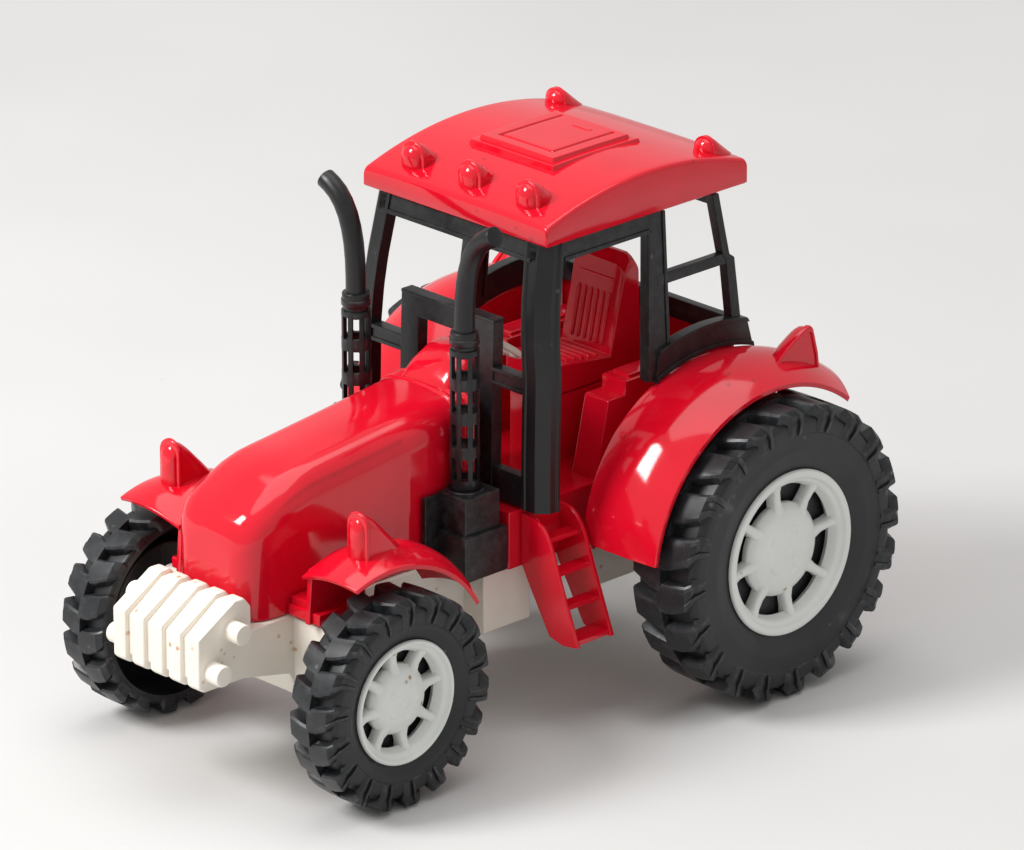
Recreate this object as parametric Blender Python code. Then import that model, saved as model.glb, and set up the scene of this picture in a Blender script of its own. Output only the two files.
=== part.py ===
"""A moulded toy tractor, built from the pieces it comes apart into.

Metres, +Z up, front towards -Y, the tractor's left towards +X. The origin is on
the ground, under the middle of the whole toy. Run it in Blender 4.5, from the Text
Editor or with: blender --background --python part.py
"""

import math

import bmesh
import bpy
from mathutils import Matrix, Vector

MM = 0.001
GAP = 0.3 * MM  # between faces of two pieces that rest on each other
RUNNING_GAP = 0.1 * MM  # radial, round a shaft that turns
PRESS_GAP = 0.1 * MM  # radial, round a shaft or screw that is pressed in

# Driving dimensions
WHEELBASE = 99.2 * MM
NOSE_REACH = 33.0 * MM  # front axle to the face of the nose weights
FRONT_TYRE_RADIUS = 23.4 * MM
REAR_TYRE_RADIUS = 33.0 * MM
FRONT_TYRE_WIDTH = 11.6 * MM
REAR_TYRE_WIDTH = 16.2 * MM
FRONT_TYRE_INNER_X = 29.8 * MM
REAR_TYRE_INNER_X = 39.6 * MM
FRONT_RIM_RADIUS = 13.6 * MM
REAR_RIM_RADIUS = 18.5 * MM
AXLE_RADIUS = 1.25 * MM
CHASSIS_HALF_WIDTH = 13.5 * MM
HOOD_HALF_WIDTH = 12.9 * MM
TUB_HALF_WIDTH = 22.0 * MM
CAB_HALF_WIDTH = 26.9 * MM  # outside of the cab frame under the roof
CAB_SPLAY = 2.7 * MM  # how far the frame's sides lean out from roof to sill
CAB_SETBACK = 49.5 * MM  # rear axle back from the foot of the windshield
WALL = 1.3 * MM
DECK_Z = 37.0 * MM  # top of the chassis, where the hood stands
SKIRT_Z = 34.0 * MM  # lower edge of the cab tub
FLOOR_Z = 47.2 * MM  # top of the cab tub
RAIL_Z = 106.2 * MM  # top of the cab frame, where the roof sits
SILL_Z = 77.0 * MM  # top of the windshield's lower rail

# Derived places
FRONT_AXLE_Y = (NOSE_REACH - WHEELBASE - REAR_TYRE_RADIUS) / 2
REAR_AXLE_Y = FRONT_AXLE_Y + WHEELBASE
SHIELD_Y = REAR_AXLE_Y - CAB_SETBACK  # foot of the windshield's front face
SHIELD_DEPTH = 3.2 * MM
TUB_FRONT_Y = SHIELD_Y - 2.4 * MM
TUB_REAR_Y = REAR_AXLE_Y + 12.0 * MM
HOOD_FRONT_Y = FRONT_AXLE_Y - 18.0 * MM
HOOD_REAR_Y = TUB_FRONT_Y - GAP
NOSE_Y = FRONT_AXLE_Y - NOSE_REACH

MATERIALS = {
    "glossy_red": ((0.62, 0.008, 0.018), 0.2, 0.0),
    "ivory": ((0.78, 0.72, 0.62), 0.45, 0.0),
    "satin_black": ((0.022, 0.022, 0.022), 0.5, 0.0),
    "tyre_black": ((0.016, 0.017, 0.018), 0.6, 0.0),
    "pale_grey": ((0.6, 0.62, 0.6), 0.4, 0.0),
    "steel": ((0.55, 0.55, 0.55), 0.35, 1.0),
}


# Meshes


def clear_scene():
    for obj in list(bpy.data.objects):
        bpy.data.objects.remove(obj, do_unlink=True)


def material(name):
    if name in bpy.data.materials:
        return bpy.data.materials[name]
    colour, roughness, metallic = MATERIALS[name]
    made = bpy.data.materials.new(name)
    made.use_nodes = True
    shader = made.node_tree.nodes["Principled BSDF"]
    shader.inputs["Base Color"].default_value = (*colour, 1.0)
    shader.inputs["Roughness"].default_value = roughness
    shader.inputs["Metallic"].default_value = metallic
    made.diffuse_color = (*colour, 1.0)
    return made


def solid(name, points, faces):
    """An object from corner points and faces, its faces turned to point out."""
    mesh = bpy.data.meshes.new(name)
    mesh.from_pydata([tuple(p) for p in points], [], faces)
    shape = bmesh.new()
    shape.from_mesh(mesh)
    bmesh.ops.recalc_face_normals(shape, faces=shape.faces)
    shape.to_mesh(mesh)
    shape.free()
    obj = bpy.data.objects.new(name, mesh)
    bpy.context.scene.collection.objects.link(obj)
    return obj


def loft(name, rings):
    """A closed solid through rings of the same number of points, capped at both ends."""
    count = len(rings[0])
    points = [p for ring in rings for p in ring]
    faces = [list(range(count)), [len(points) - count + i for i in range(count)]]
    for start in range(0, len(points) - count, count):
        for i in range(count):
            j = (i + 1) % count
            faces.append([start + i, start + j, start + count + j, start + count + i])
    return solid(name, points, faces)


def box(name, low, high):
    (x0, y0, z0), (x1, y1, z1) = low, high
    ring = [(x0, y0), (x1, y0), (x1, y1), (x0, y1)]
    return loft(name, [[(x, y, z) for x, y in ring] for z in (z0, z1)])


def prism_x(name, outline, x0, x1):
    """An outline of (y, z) points, extruded from x0 to x1."""
    return loft(name, [[(x, y, z) for y, z in outline] for x in (x0, x1)])


def prism_y(name, outline, y0, y1):
    """An outline of (x, z) points, extruded from y0 to y1."""
    return loft(name, [[(x, y, z) for x, z in outline] for y in (y0, y1)])


def arc(centre, radius, start, end, steps):
    """Points on an arc, its angles in degrees from the first axis to the second."""
    angles = [math.radians(start + (end - start) * i / steps) for i in range(steps + 1)]
    return [
        (centre[0] + radius * math.cos(a), centre[1] + radius * math.sin(a)) for a in angles
    ]


def rounded(outline, radius, steps=3):
    """The outline with each convex or hollow corner rounded to the radius."""
    made = []
    for i, corner in enumerate(outline):
        here = Vector(corner)
        before = Vector(outline[i - 1]) - here
        after = Vector(outline[(i + 1) % len(outline)]) - here
        angle = before.angle(after)
        reach = min(radius / math.tan(angle / 2), before.length * 0.45, after.length * 0.45)
        start = here + before.normalized() * reach
        end = here + after.normalized() * reach
        for k in range(steps + 1):
            t = k / steps
            made.append(tuple(start.lerp(here, t).lerp(here.lerp(end, t), t)))
    return made


def turned(name, profile, x, y, z, side, segments):
    """A profile of (distance from the wheel's inner plane, radius), turned round X.

    Points at radius zero close on the axis. x is the inner plane, and side is the
    way that distances run: 1 to the left, -1 to the right.
    """
    points, rings = [], []
    for along, radius in profile:
        if radius == 0:
            rings.append([len(points)])
            points.append((side * (x + along), y, z))
            continue
        rings.append(list(range(len(points), len(points) + segments)))
        for i in range(segments):
            a = 2 * math.pi * i / segments
            points.append((side * (x + along), y + radius * math.cos(a), z + radius * math.sin(a)))
    faces = []
    closed = profile[0][1] > 0
    pairs = list(zip(rings, rings[1:])) + ([(rings[-1], rings[0])] if closed else [])
    for first, second in pairs:
        for i in range(segments):
            j = (i + 1) % segments
            if len(first) == 1:
                faces.append([first[0], second[i], second[j]])
            elif len(second) == 1:
                faces.append([first[i], second[0], first[j]])
            else:
                faces.append([first[i], second[i], second[j], first[j]])
    return solid(name, points, faces)


def rod(name, start, end, radius, sides=16):
    """A straight round bar between two points, also used as a drill."""
    axis = (Vector(end) - Vector(start)).normalized()
    across = axis.orthogonal().normalized()
    other = axis.cross(across)
    turns = [2 * math.pi * i / sides for i in range(sides)]
    spokes = [(across * math.cos(a) + other * math.sin(a)) * radius for a in turns]
    return loft(name, [[Vector(end_point) + s for s in spokes] for end_point in (start, end)])


def combine(obj, others, operation):
    """Joins or cuts the object with others by exact Booleans, and removes the others."""
    for other in others:
        modifier = obj.modifiers.new(operation, "BOOLEAN")
        modifier.operation = operation
        modifier.solver = "EXACT"
        modifier.object = other
    bpy.context.view_layer.update()
    graph = bpy.context.evaluated_depsgraph_get()
    mesh = bpy.data.meshes.new_from_object(obj.evaluated_get(graph))
    obj.modifiers.clear()
    obj.data = mesh
    for other in others:
        bpy.data.objects.remove(other, do_unlink=True)
    return obj


def join(obj, *others):
    return combine(obj, others, "UNION")


def cut(obj, *cutters):
    return combine(obj, cutters, "DIFFERENCE")


def finish(obj, name, finish_name, smooth_below=40):
    """Names the piece, gives it its plastic and shades its round faces smooth."""
    obj.name = name
    obj.data.name = name
    obj.data.materials.clear()
    obj.data.materials.append(material(finish_name))
    obj.data.shade_smooth()
    obj.data.set_sharp_from_angle(angle=math.radians(smooth_below))
    return obj


def side_name(side):
    return "left" if side > 0 else "right"


# Wheels

TYRE_BAND = 2.2 * MM  # thickness of the tread band
SIDEWALL = 1.7 * MM
LUG_HEIGHT = 2.2 * MM
SHOULDER = 3.6 * MM  # how far a lug reaches down the sidewall
BEAD_DEPTH = 1.9 * MM  # how far the sidewall dishes in at the rim
BEAD_LAP = 0.75 * MM  # how far the rim's lip covers the tyre
LIP_SETBACK = 0.5 * MM  # the rim's face behind the tyre's widest plane
RIM_WALL = 1.5 * MM
DISC_DEPTH = 3.6 * MM  # lip to the wheel's disc
DISC_THICKNESS = 1.6 * MM
HUB_SHARE = 0.55  # of the rim's radius
WINDOWS = 8


def tyre(name, side, axle_y, radius, width, inner_x, rim_radius, lugs):
    """A hollow tyre, open on its inner side, with a row of lugs along each shoulder."""
    carcass = radius - LUG_HEIGHT
    bore = rim_radius - BEAD_LAP
    step = math.pi / lugs
    profile = [
        (0.0, carcass - 0.4 * MM, 1),
        (0.44 * width, carcass, 0),
        (0.56 * width, carcass, 0),
        (width - 0.6 * MM, carcass - 0.5 * MM, 1),
        (width, carcass - SHOULDER, 1),
        (width - BEAD_DEPTH, bore, 1),
        (width - BEAD_DEPTH - SIDEWALL, bore, 1),
        (width - SIDEWALL, carcass - TYRE_BAND, 1),
        (0.0, carcass - TYRE_BAND, 1),
    ]
    shape = bmesh.new()
    rings = []
    for along, r, skew in profile:
        ring = []
        for i in range(2 * lugs):
            a = (i + skew) * step
            place = (
                side * (inner_x + along),
                axle_y + r * math.cos(a),
                radius + r * math.sin(a),
            )
            ring.append(shape.verts.new(place))
        rings.append(ring)
    bands = []
    for k, first in enumerate(rings):
        second = rings[(k + 1) % len(rings)]
        band = []
        for i in range(2 * lugs):
            j = (i + 1) % (2 * lugs)
            band.append(shape.faces.new([first[i], second[i], second[j], first[j]]))
        bands.append(band)
    bmesh.ops.recalc_face_normals(shape, faces=shape.faces)
    patches = [[bands[0][i]] for i in range(1, 2 * lugs, 2)]
    patches += [[bands[2][i], bands[3][i]] for i in range(0, 2 * lugs, 2)]
    for patch in patches:
        made = bmesh.ops.extrude_face_region(shape, geom=patch)
        for vert in (g for g in made["geom"] if isinstance(g, bmesh.types.BMVert)):
            out = Vector((0, vert.co.y - axle_y, vert.co.z - radius))
            if out.length < carcass - 0.6 * SHOULDER:
                vert.co += out.normalized() * 0.5 * MM + Vector((side * 0.7 * MM, 0, 0))
            else:
                vert.co += out.normalized() * (radius - out.length)
    bmesh.ops.delete(
        shape, geom=[f for patch in patches for f in patch], context="FACES_ONLY"
    )
    mesh = bpy.data.meshes.new(name)
    bmesh.ops.recalc_face_normals(shape, faces=shape.faces)
    shape.to_mesh(mesh)
    shape.free()
    obj = bpy.data.objects.new(name, mesh)
    bpy.context.scene.collection.objects.link(obj)
    return finish(obj, name, "tyre_black", 30)


def rim(name, side, axle_y, axle_z, width, inner_x, radius, sleeve_x):
    """A dished rim: lip, barrel, eight-windowed disc, domed hub and a sleeve for the axle."""
    face = width - LIP_SETBACK  # the lip's outer face, from the tyre's inner plane
    seat_x = width - BEAD_DEPTH + GAP + 0.25 * MM
    barrel = radius - BEAD_LAP - GAP
    wall = barrel - RIM_WALL
    hub = HUB_SHARE * radius
    disc = face - DISC_DEPTH
    back = disc - DISC_THICKNESS
    sleeve = sleeve_x - inner_x
    bore = AXLE_RADIUS + PRESS_GAP
    profile = [
        (face - 0.9 * MM, 0),
        (face - 1.3 * MM, 0.6 * hub),
        (face - 2.0 * MM, 0.95 * hub),
        (disc + 0.2 * MM, hub + 0.4 * MM),
        (disc, wall),
        (face - 1.0 * MM, wall),
        (face, wall + 0.9 * MM),
        (face, radius - 0.3 * MM),
        (face - 0.4 * MM, radius),
        (seat_x, radius),
        (seat_x, barrel),
        (0.3 * width, barrel),
        (0.3 * width, barrel - 1.0 * MM),
        (back, barrel - 1.0 * MM),
        (back, 2.8 * MM),
        (sleeve, 2.8 * MM),
        (sleeve, bore),
        (disc, bore),
        (disc, 0),
    ]
    obj = turned(name, profile, inner_x, axle_y, axle_z, side, 24)
    inner, outer = hub + 1.3 * MM, wall - 0.2 * MM
    cutters = []
    for k in range(WINDOWS):
        middle = 2 * math.pi * (k + 0.5) / WINDOWS
        half = 0.6 * math.pi / WINDOWS
        ring = []
        for r, a in ((inner, -half), (outer, -half), (outer, half), (inner, half)):
            ring.append((axle_y + r * math.cos(middle + a), axle_z + r * math.sin(middle + a)))
        low, high = inner_x + back - MM, inner_x + disc + MM
        cutters.append(prism_x("window", ring, side * low, side * high))
    return finish(cut(obj, *cutters), name, "pale_grey", 30)


def wheels():
    sets = (
        ("front", FRONT_AXLE_Y, FRONT_TYRE_RADIUS, FRONT_TYRE_WIDTH,
         FRONT_TYRE_INNER_X, FRONT_RIM_RADIUS, 18),
        ("rear", REAR_AXLE_Y, REAR_TYRE_RADIUS, REAR_TYRE_WIDTH,
         REAR_TYRE_INNER_X, REAR_RIM_RADIUS, 20),
    )
    for place, y, radius, width, inner_x, rim_radius, lugs in sets:
        disc_x = inner_x + width - LIP_SETBACK - DISC_DEPTH
        half = disc_x - GAP
        axle = rod("axle", (-half, y, radius), (half, y, radius), AXLE_RADIUS)
        finish(axle, f"{place}_axle", "steel")
        for side in (1, -1):
            label = f"{place}_{{}}_{side_name(side)}"
            sleeve_x = ARM_HALF_WIDTH[place] + 2 * GAP
            tyre(label.format("tyre"), side, y, radius, width, inner_x, rim_radius, lugs)
            rim(label.format("rim"), side, y, radius, width, inner_x, rim_radius, sleeve_x)


# Chassis

ARM_HALF_WIDTH = {"front": 27.0 * MM, "rear": 26.0 * MM}
FLOOR_THICKNESS = 1.8 * MM
BELLY_Z = 18.0 * MM
RAISED_BELLY_Z = 26.5 * MM  # between the tank and the rear axle
TANK_HALF_WIDTH = 19.5 * MM
SCREW_RADIUS = 1.1 * MM
SCREW_HEAD_RADIUS = 2.1 * MM
SCREW_HEAD = 1.4 * MM
BOSS_RADIUS = 2.9 * MM
HOOD_SCREW = (7.0 * MM, FRONT_AXLE_Y + 14.0 * MM)
TUB_SCREW = (8.0 * MM, SHIELD_Y + 16.0 * MM)
WEIGHT_PLATES = 5
WEIGHT_HALF_WIDTH = 13.4 * MM
STUD_RADIUS = 2.3 * MM


def chassis():
    front, rear, tub = FRONT_AXLE_Y, REAR_AXLE_Y, TUB_FRONT_Y
    top = FLOOR_Z - WALL - GAP
    outline = [
        (HOOD_FRONT_Y - 2 * MM, 26.6 * MM),
        (front - 8 * MM, 24.0 * MM),
        (front - 5 * MM, BELLY_Z),
        (tub + 10 * MM, BELLY_Z),
        (tub + 13 * MM, RAISED_BELLY_Z),
        (rear - 22 * MM, RAISED_BELLY_Z),
        (rear - 19 * MM, BELLY_Z),
        (rear + 8 * MM, BELLY_Z),
        (TUB_REAR_Y - WALL - GAP, 25.0 * MM),
        (TUB_REAR_Y - WALL - GAP, top - 3 * MM),
        (tub + 4 * MM, top - 3 * MM),
        (tub + 4 * MM, SKIRT_Z - GAP),
        (tub - 3 * MM, SKIRT_Z - GAP),
        (tub - 3 * MM, DECK_Z),
        (HOOD_FRONT_Y - 2 * MM, DECK_Z),
    ]
    body = prism_x("chassis", outline, -CHASSIS_HALF_WIDTH, CHASSIS_HALF_WIDTH)
    parts = [
        box("front_arm", (-ARM_HALF_WIDTH["front"], front - 6.5 * MM, BELLY_Z + 1 * MM),
            (ARM_HALF_WIDTH["front"], front + 6.5 * MM, DECK_Z - 0.6 * MM)),
        box("rear_arm", (-ARM_HALF_WIDTH["rear"], rear - 7 * MM, REAR_TYRE_RADIUS - 7 * MM),
            (ARM_HALF_WIDTH["rear"], rear + 7 * MM, REAR_TYRE_RADIUS + 6 * MM)),
        box("tank", (-TANK_HALF_WIDTH, tub - 5 * MM, BELLY_Z + 2 * MM),
            (TANK_HALF_WIDTH, tub + 9 * MM, SKIRT_Z - GAP)),
        prism_x("nose", nose_outline(0), -WEIGHT_HALF_WIDTH + MM, WEIGHT_HALF_WIDTH - MM),
    ]
    pitch = 2 * WEIGHT_HALF_WIDTH / (WEIGHT_PLATES - 0.3)
    for i in range(WEIGHT_PLATES):
        x = -WEIGHT_HALF_WIDTH + i * pitch
        parts.append(prism_x("plate", nose_outline(1.2 * MM), x, x + 0.7 * pitch))
    for y, z in ((NOSE_Y + 9.2 * MM, 38.4 * MM), (NOSE_Y + 3.6 * MM, 30.8 * MM)):
        reach = WEIGHT_HALF_WIDTH + 4.0 * MM
        parts.append(rod("stud", (-reach, y, z), (reach, y, z), STUD_RADIUS, 12))
    parts.append(tow_hook())
    join(body, *parts)
    inner = CHASSIS_HALF_WIDTH - WALL
    cutters = [
        box("front_hollow", (-inner, front + 7 * MM, BELLY_Z + FLOOR_THICKNESS),
            (inner, tub + 3 * MM, FLOOR_Z)),
        box("front_hollow_top", (-inner, tub + 2 * MM, RAISED_BELLY_Z + FLOOR_THICKNESS + 0.2 * MM),
            (inner, rear - 9 * MM, FLOOR_Z)),
    ]
    for place, y, z in (("front", front, FRONT_TYRE_RADIUS), ("rear", rear, REAR_TYRE_RADIUS)):
        reach = ARM_HALF_WIDTH[place] + MM
        flats = (AXLE_RADIUS + RUNNING_GAP) / math.cos(math.pi / 16)
        cutters.append(rod("bore", (-reach, y, z), (reach, y, z), flats, 16))
    cut(body, *cutters)
    bosses, holes = [], []
    for (x, y), under in screw_places():
        for side in (1, -1):
            bosses.append(rod("boss", (side * x, y, under + 0.5 * MM),
                              (side * x, y, under + FLOOR_THICKNESS + MM), BOSS_RADIUS, 12))
            holes.append(rod("hole", (side * x, y, under - MM),
                             (side * x, y, under + 9 * MM), SCREW_RADIUS + GAP, 12))
            holes.append(rod("counterbore", (side * x, y, under - MM),
                             (side * x, y, under + SCREW_HEAD + 0.5 * MM),
                             SCREW_HEAD_RADIUS + GAP, 12))
    join(body, *bosses)
    cut(body, *holes)
    return finish(body, "chassis", "ivory", 35)


def screw_places():
    """Each pair of screws: (x, y), and the height of the chassis's underside there."""
    return (HOOD_SCREW, BELLY_Z), (TUB_SCREW, RAISED_BELLY_Z)


def nose_outline(proud):
    """The side of the weight block, its plates standing proud of the core."""
    low, high = 26.6 * MM, 44.6 * MM
    deep = 1.2 * MM - proud
    return [
        (NOSE_Y + deep, low + 1.2 * MM + deep),
        (NOSE_Y + 1.5 * MM + deep, low + deep),
        (HOOD_FRONT_Y - GAP - 1.5 * MM, low + deep),
        (HOOD_FRONT_Y - GAP, low + 2 * MM),
        (HOOD_FRONT_Y - GAP, high - 2.2 * MM - deep),
        (HOOD_FRONT_Y - GAP - 1.8 * MM, high - deep),
        (HOOD_FRONT_Y - GAP - 4.4 * MM, high - deep),
        (NOSE_Y + deep, 38.6 * MM - deep),
    ]


def tow_hook():
    """The hitch tongue behind the rear axle."""
    y = TUB_REAR_Y - WALL - GAP
    return box("tow_hook", (-4 * MM, y - 2 * MM, 25.5 * MM), (4 * MM, y + 12 * MM, 28.5 * MM))


def screws():
    for label, ((x, y), under) in zip(("hood", "tub"), screw_places()):
        for side in (1, -1):
            base = under + 0.5 * MM
            tip = under + 13 * MM
            head = rod("head", (side * x, y, base), (side * x, y, base + SCREW_HEAD),
                       SCREW_HEAD_RADIUS, 12)
            shank = rod("shank", (side * x, y, base + SCREW_HEAD / 2),
                        (side * x, y, tip), SCREW_RADIUS, 10)
            slots = [
                box("slot", (side * x - w, y - d, base - MM), (side * x + w, y + d, base + 0.7 * MM))
                for w, d in ((1.3 * MM, 0.25 * MM), (0.25 * MM, 1.3 * MM))
            ]
            screw = cut(join(head, shank), *slots)
            finish(screw, f"{label}_screw_{side_name(side)}", "steel")


# Hood

COWL_HALF_WIDTH = 7.6 * MM
COWL_TOP_Z = 78.6 * MM
HOOD_NOSE_Z = 57.0 * MM
NOSE_CORNER = 5.4 * MM  # radius of the nose's upright corners
NOSE_TAPER = 1.4 * MM
HOOD_REAR_Z = 72.4 * MM


def hood_section(y, half, top, low, shoulder, steps=4):
    """One arch of the hood at y, from its left foot over the top to its right foot."""
    right = arc((half - shoulder, top - shoulder), shoulder, 0, 90, steps)
    return [(x, y, z) for x, z in [(half, low), *right]] + [
        (-x, y, z) for x, z in [*reversed(right), (half, low)]
    ]


def hood_top(y):
    """Height of the hood's top line, rising to the rear in a shallow curve."""
    share = (y - HOOD_FRONT_Y) / (HOOD_REAR_Y - HOOD_FRONT_Y)
    nose = 1 - (1 - min(share / 0.3, 1)) ** 2
    return HOOD_NOSE_Z + 8.5 * MM * nose + (HOOD_REAR_Z - HOOD_NOSE_Z - 8.5 * MM) * share


def hood_half(y):
    """Half the hood's width at y: it narrows to the nose and its front corners are round."""
    back = y - HOOD_FRONT_Y
    corner = max(NOSE_CORNER - back, 0)
    taper = NOSE_TAPER * max(1 - back / (10 * MM), 0)
    return HOOD_HALF_WIDTH - taper - NOSE_CORNER + math.sqrt(NOSE_CORNER ** 2 - corner ** 2)


def hood():
    low = DECK_Z + GAP
    length = HOOD_REAR_Y - HOOD_FRONT_Y
    rows = [(0.0, 4.6), (0.008, 5.0), (0.022, 5.4), (0.045, 5.8), (0.08, 6.4),
            (0.14, 6.8), (0.22, 7.2), (0.34, 7.2), (0.55, 7.0), (0.78, 6.6), (1.0, 6.2)]
    outer, inner = [], []
    for share, shoulder in rows:
        y = HOOD_FRONT_Y + share * length
        outer.append(hood_section(y, hood_half(y), hood_top(y), low, shoulder * MM))
    for share, shoulder in rows[3:]:
        y = HOOD_FRONT_Y + share * length
        half = min(hood_half(y), HOOD_HALF_WIDTH) - WALL
        inner.append(hood_section(y, half, hood_top(y) - WALL, low - MM, shoulder * MM - WALL))
    inner[-1] = [(x, HOOD_REAR_Y - WALL, z) for x, y, z in inner[-1]]
    shell = loft("hood", outer)
    join(shell, cowl())
    cut(shell, loft("hollow", inner))
    (x, y), under = screw_places()[0]
    posts = [
        rod("post", (side * x, y, under + FLOOR_THICKNESS + MM + GAP),
            (side * x, y, hood_top(y) - 1 * MM), BOSS_RADIUS, 12)
        for side in (1, -1)
    ]
    ribs = [
        loft("rib", [
            hood_section(y0, HOOD_HALF_WIDTH + 0.35 * MM, hood_top(y0) + 0.35 * MM,
                         SILL_Z - 17 * MM, 6.5 * MM)
            for y0 in (y1, y1 + 0.9 * MM)
        ])
        for y1 in (HOOD_REAR_Y - 4.0 * MM, HOOD_REAR_Y - 1.6 * MM)
    ]
    for rib in ribs:
        cut(rib, loft("inside", inner))
    join(shell, *posts, *ribs)
    pilots = [
        rod("pilot", (side * x, y, under), (side * x, y, under + 14 * MM),
            SCREW_RADIUS + PRESS_GAP, 12)
        for side in (1, -1)
    ]
    socket = steering_column("socket", COLUMN_RADIUS + PRESS_GAP, COLUMN_LENGTH + GAP)
    return finish(cut(shell, *pilots, socket), "hood", "glossy_red", 40)


def cowl():
    """The dash cowl that rises from the hood and runs back under the windshield's arch."""
    low = FLOOR_Z + GAP + 0.2 * MM
    stations = (
        (HOOD_REAR_Y - 6 * MM, 8.0 * MM, HOOD_REAR_Z - 1.5 * MM),
        (HOOD_REAR_Y - 0.5 * MM, COWL_HALF_WIDTH, COWL_TOP_Z - 2.2 * MM),
        (SHIELD_Y + 2 * MM, COWL_HALF_WIDTH, COWL_TOP_Z),
        (SHIELD_Y + 7 * MM, COWL_HALF_WIDTH, COWL_TOP_Z - 0.8 * MM),
        (SHIELD_Y + 9 * MM, COWL_HALF_WIDTH - 1.5 * MM, COWL_TOP_Z - 3.5 * MM),
    )
    return loft("cowl", [hood_section(y, half, top, low, 3.5 * MM) for y, half, top in stations])


# Steering wheel

WHEEL_CENTRE = (0, SHIELD_Y + 12.9 * MM, 76.0 * MM)
WHEEL_RADIUS = 8.0 * MM
WHEEL_TILT = 35  # degrees from level, the front edge higher
WHEEL_RIM_RADIUS = 0.8 * MM  # of the rim's own section
COLUMN_RADIUS = 1.5 * MM
COLUMN_LENGTH = 10.8 * MM  # centre of the wheel to the foot of the column, in the cowl


def wheel_frame():
    """Where a shape made round X goes, to stand round the steering column."""
    tilt = math.radians(WHEEL_TILT)
    axis, level = Vector((0, math.sin(tilt), math.cos(tilt))), Vector((1, 0, 0))
    turn = Matrix((axis, level, axis.cross(level))).transposed().to_4x4()
    return Matrix.Translation(WHEEL_CENTRE) @ turn


def steering_column(name, radius, length):
    post = rod(name, (-length, 0, 0), (-WHEEL_RIM_RADIUS, 0, 0), radius, 12)
    post.data.transform(wheel_frame())
    return post


def steering_wheel():
    """A dished wheel with three spokes, its column plugged into the cowl."""
    reach, thick = WHEEL_RADIUS - WHEEL_RIM_RADIUS, WHEEL_RIM_RADIUS
    section = arc((0, reach), thick, 0, 315, 7)
    hub_radius = 0.3 * WHEEL_RADIUS
    hub = [(-1.8 * MM, 0), (-1.8 * MM, 0.8 * hub_radius), (-0.9 * MM, hub_radius),
           (-0.1 * MM, 0.85 * hub_radius), (0.1 * MM, 0)]
    parts = [turned("hub", hub, 0, 0, 0, 1, 20)]
    for angle in (90, 210, 330):
        ahead = Vector((0, math.cos(math.radians(angle)), math.sin(math.radians(angle))))
        across, axis = Vector((0, -ahead.z, ahead.y)), Vector((1, 0, 0))
        parts.append(loft("spoke", [
            [ahead * out + across * side * wide + axis * along for side, along in (
                (-1, back), (1, back), (1, back + 0.9 * MM), (-1, back + 0.9 * MM))]
            for out, wide, back in ((0.6 * hub_radius, 1.1 * MM, -1.3 * MM),
                                    (reach, 0.8 * MM, -0.5 * MM))
        ]))
    wheel = join(turned("rim", section, 0, 0, 0, 1, 32), *parts)
    wheel.data.transform(wheel_frame())
    join(wheel, steering_column("column", COLUMN_RADIUS, COLUMN_LENGTH))
    return finish(wheel, "steering_wheel", "ivory", 35)


# Fenders

FENDER_WALL = 1.1 * MM
FRONT_FENDER_X = (19.0 * MM, 36.6 * MM)
FRONT_FENDER_CLEARANCE = 5.1 * MM  # outer edge from the tyre's tips
REAR_FENDER_X = (CAB_HALF_WIDTH + 1.5 * MM, REAR_TYRE_INNER_X + 10.0 * MM)
REAR_FENDER_CLEARANCE = 3.2 * MM
REAR_FENDER_CREST = 2.9 * MM  # highest part of the fender under the cab, above its edge
FENDER_COLUMNS = (0, 0.2, 0.4, 0.6, 0.8, 0.93, 1)


def swept_shell(name, span, centre, radius, path, wall):
    """A curved sheet swept round the centre, in the plane of the wheel.

    The path lists (angle in degrees, rise of the inner edge, rise of the crown), both
    above the outer edge, which stays at the radius. span is (inner x, outer x).
    """
    rings = []
    for angle, edge, crown in path:
        ahead, up = math.cos(math.radians(angle)), math.sin(math.radians(angle))
        surface = []
        for share in FENDER_COLUMNS:
            rise = edge * (1 - share) + crown * 4 * share * (1 - share)
            surface.append((span[0] + (span[1] - span[0]) * share, radius + rise))
        ring = []
        for inset, points in ((0, surface), (wall, reversed(surface))):
            for x, r in points:
                r -= inset
                ring.append((x, centre[0] + r * ahead, centre[1] + r * up))
        rings.append(ring)
    return loft(name, rings)


def between(stops, steps):
    """Rows spread evenly over the first value, the others interpolated between stops."""
    made = []
    for i in range(steps + 1):
        at = stops[0][0] + (stops[-1][0] - stops[0][0]) * i / steps
        for first, second in zip(stops, stops[1:]):
            t = (at - first[0]) / (second[0] - first[0])
            if t <= 1 + 1e-9:
                break
        made.append(tuple(a + (b - a) * t for a, b in zip(first, second)))
    return made


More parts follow.
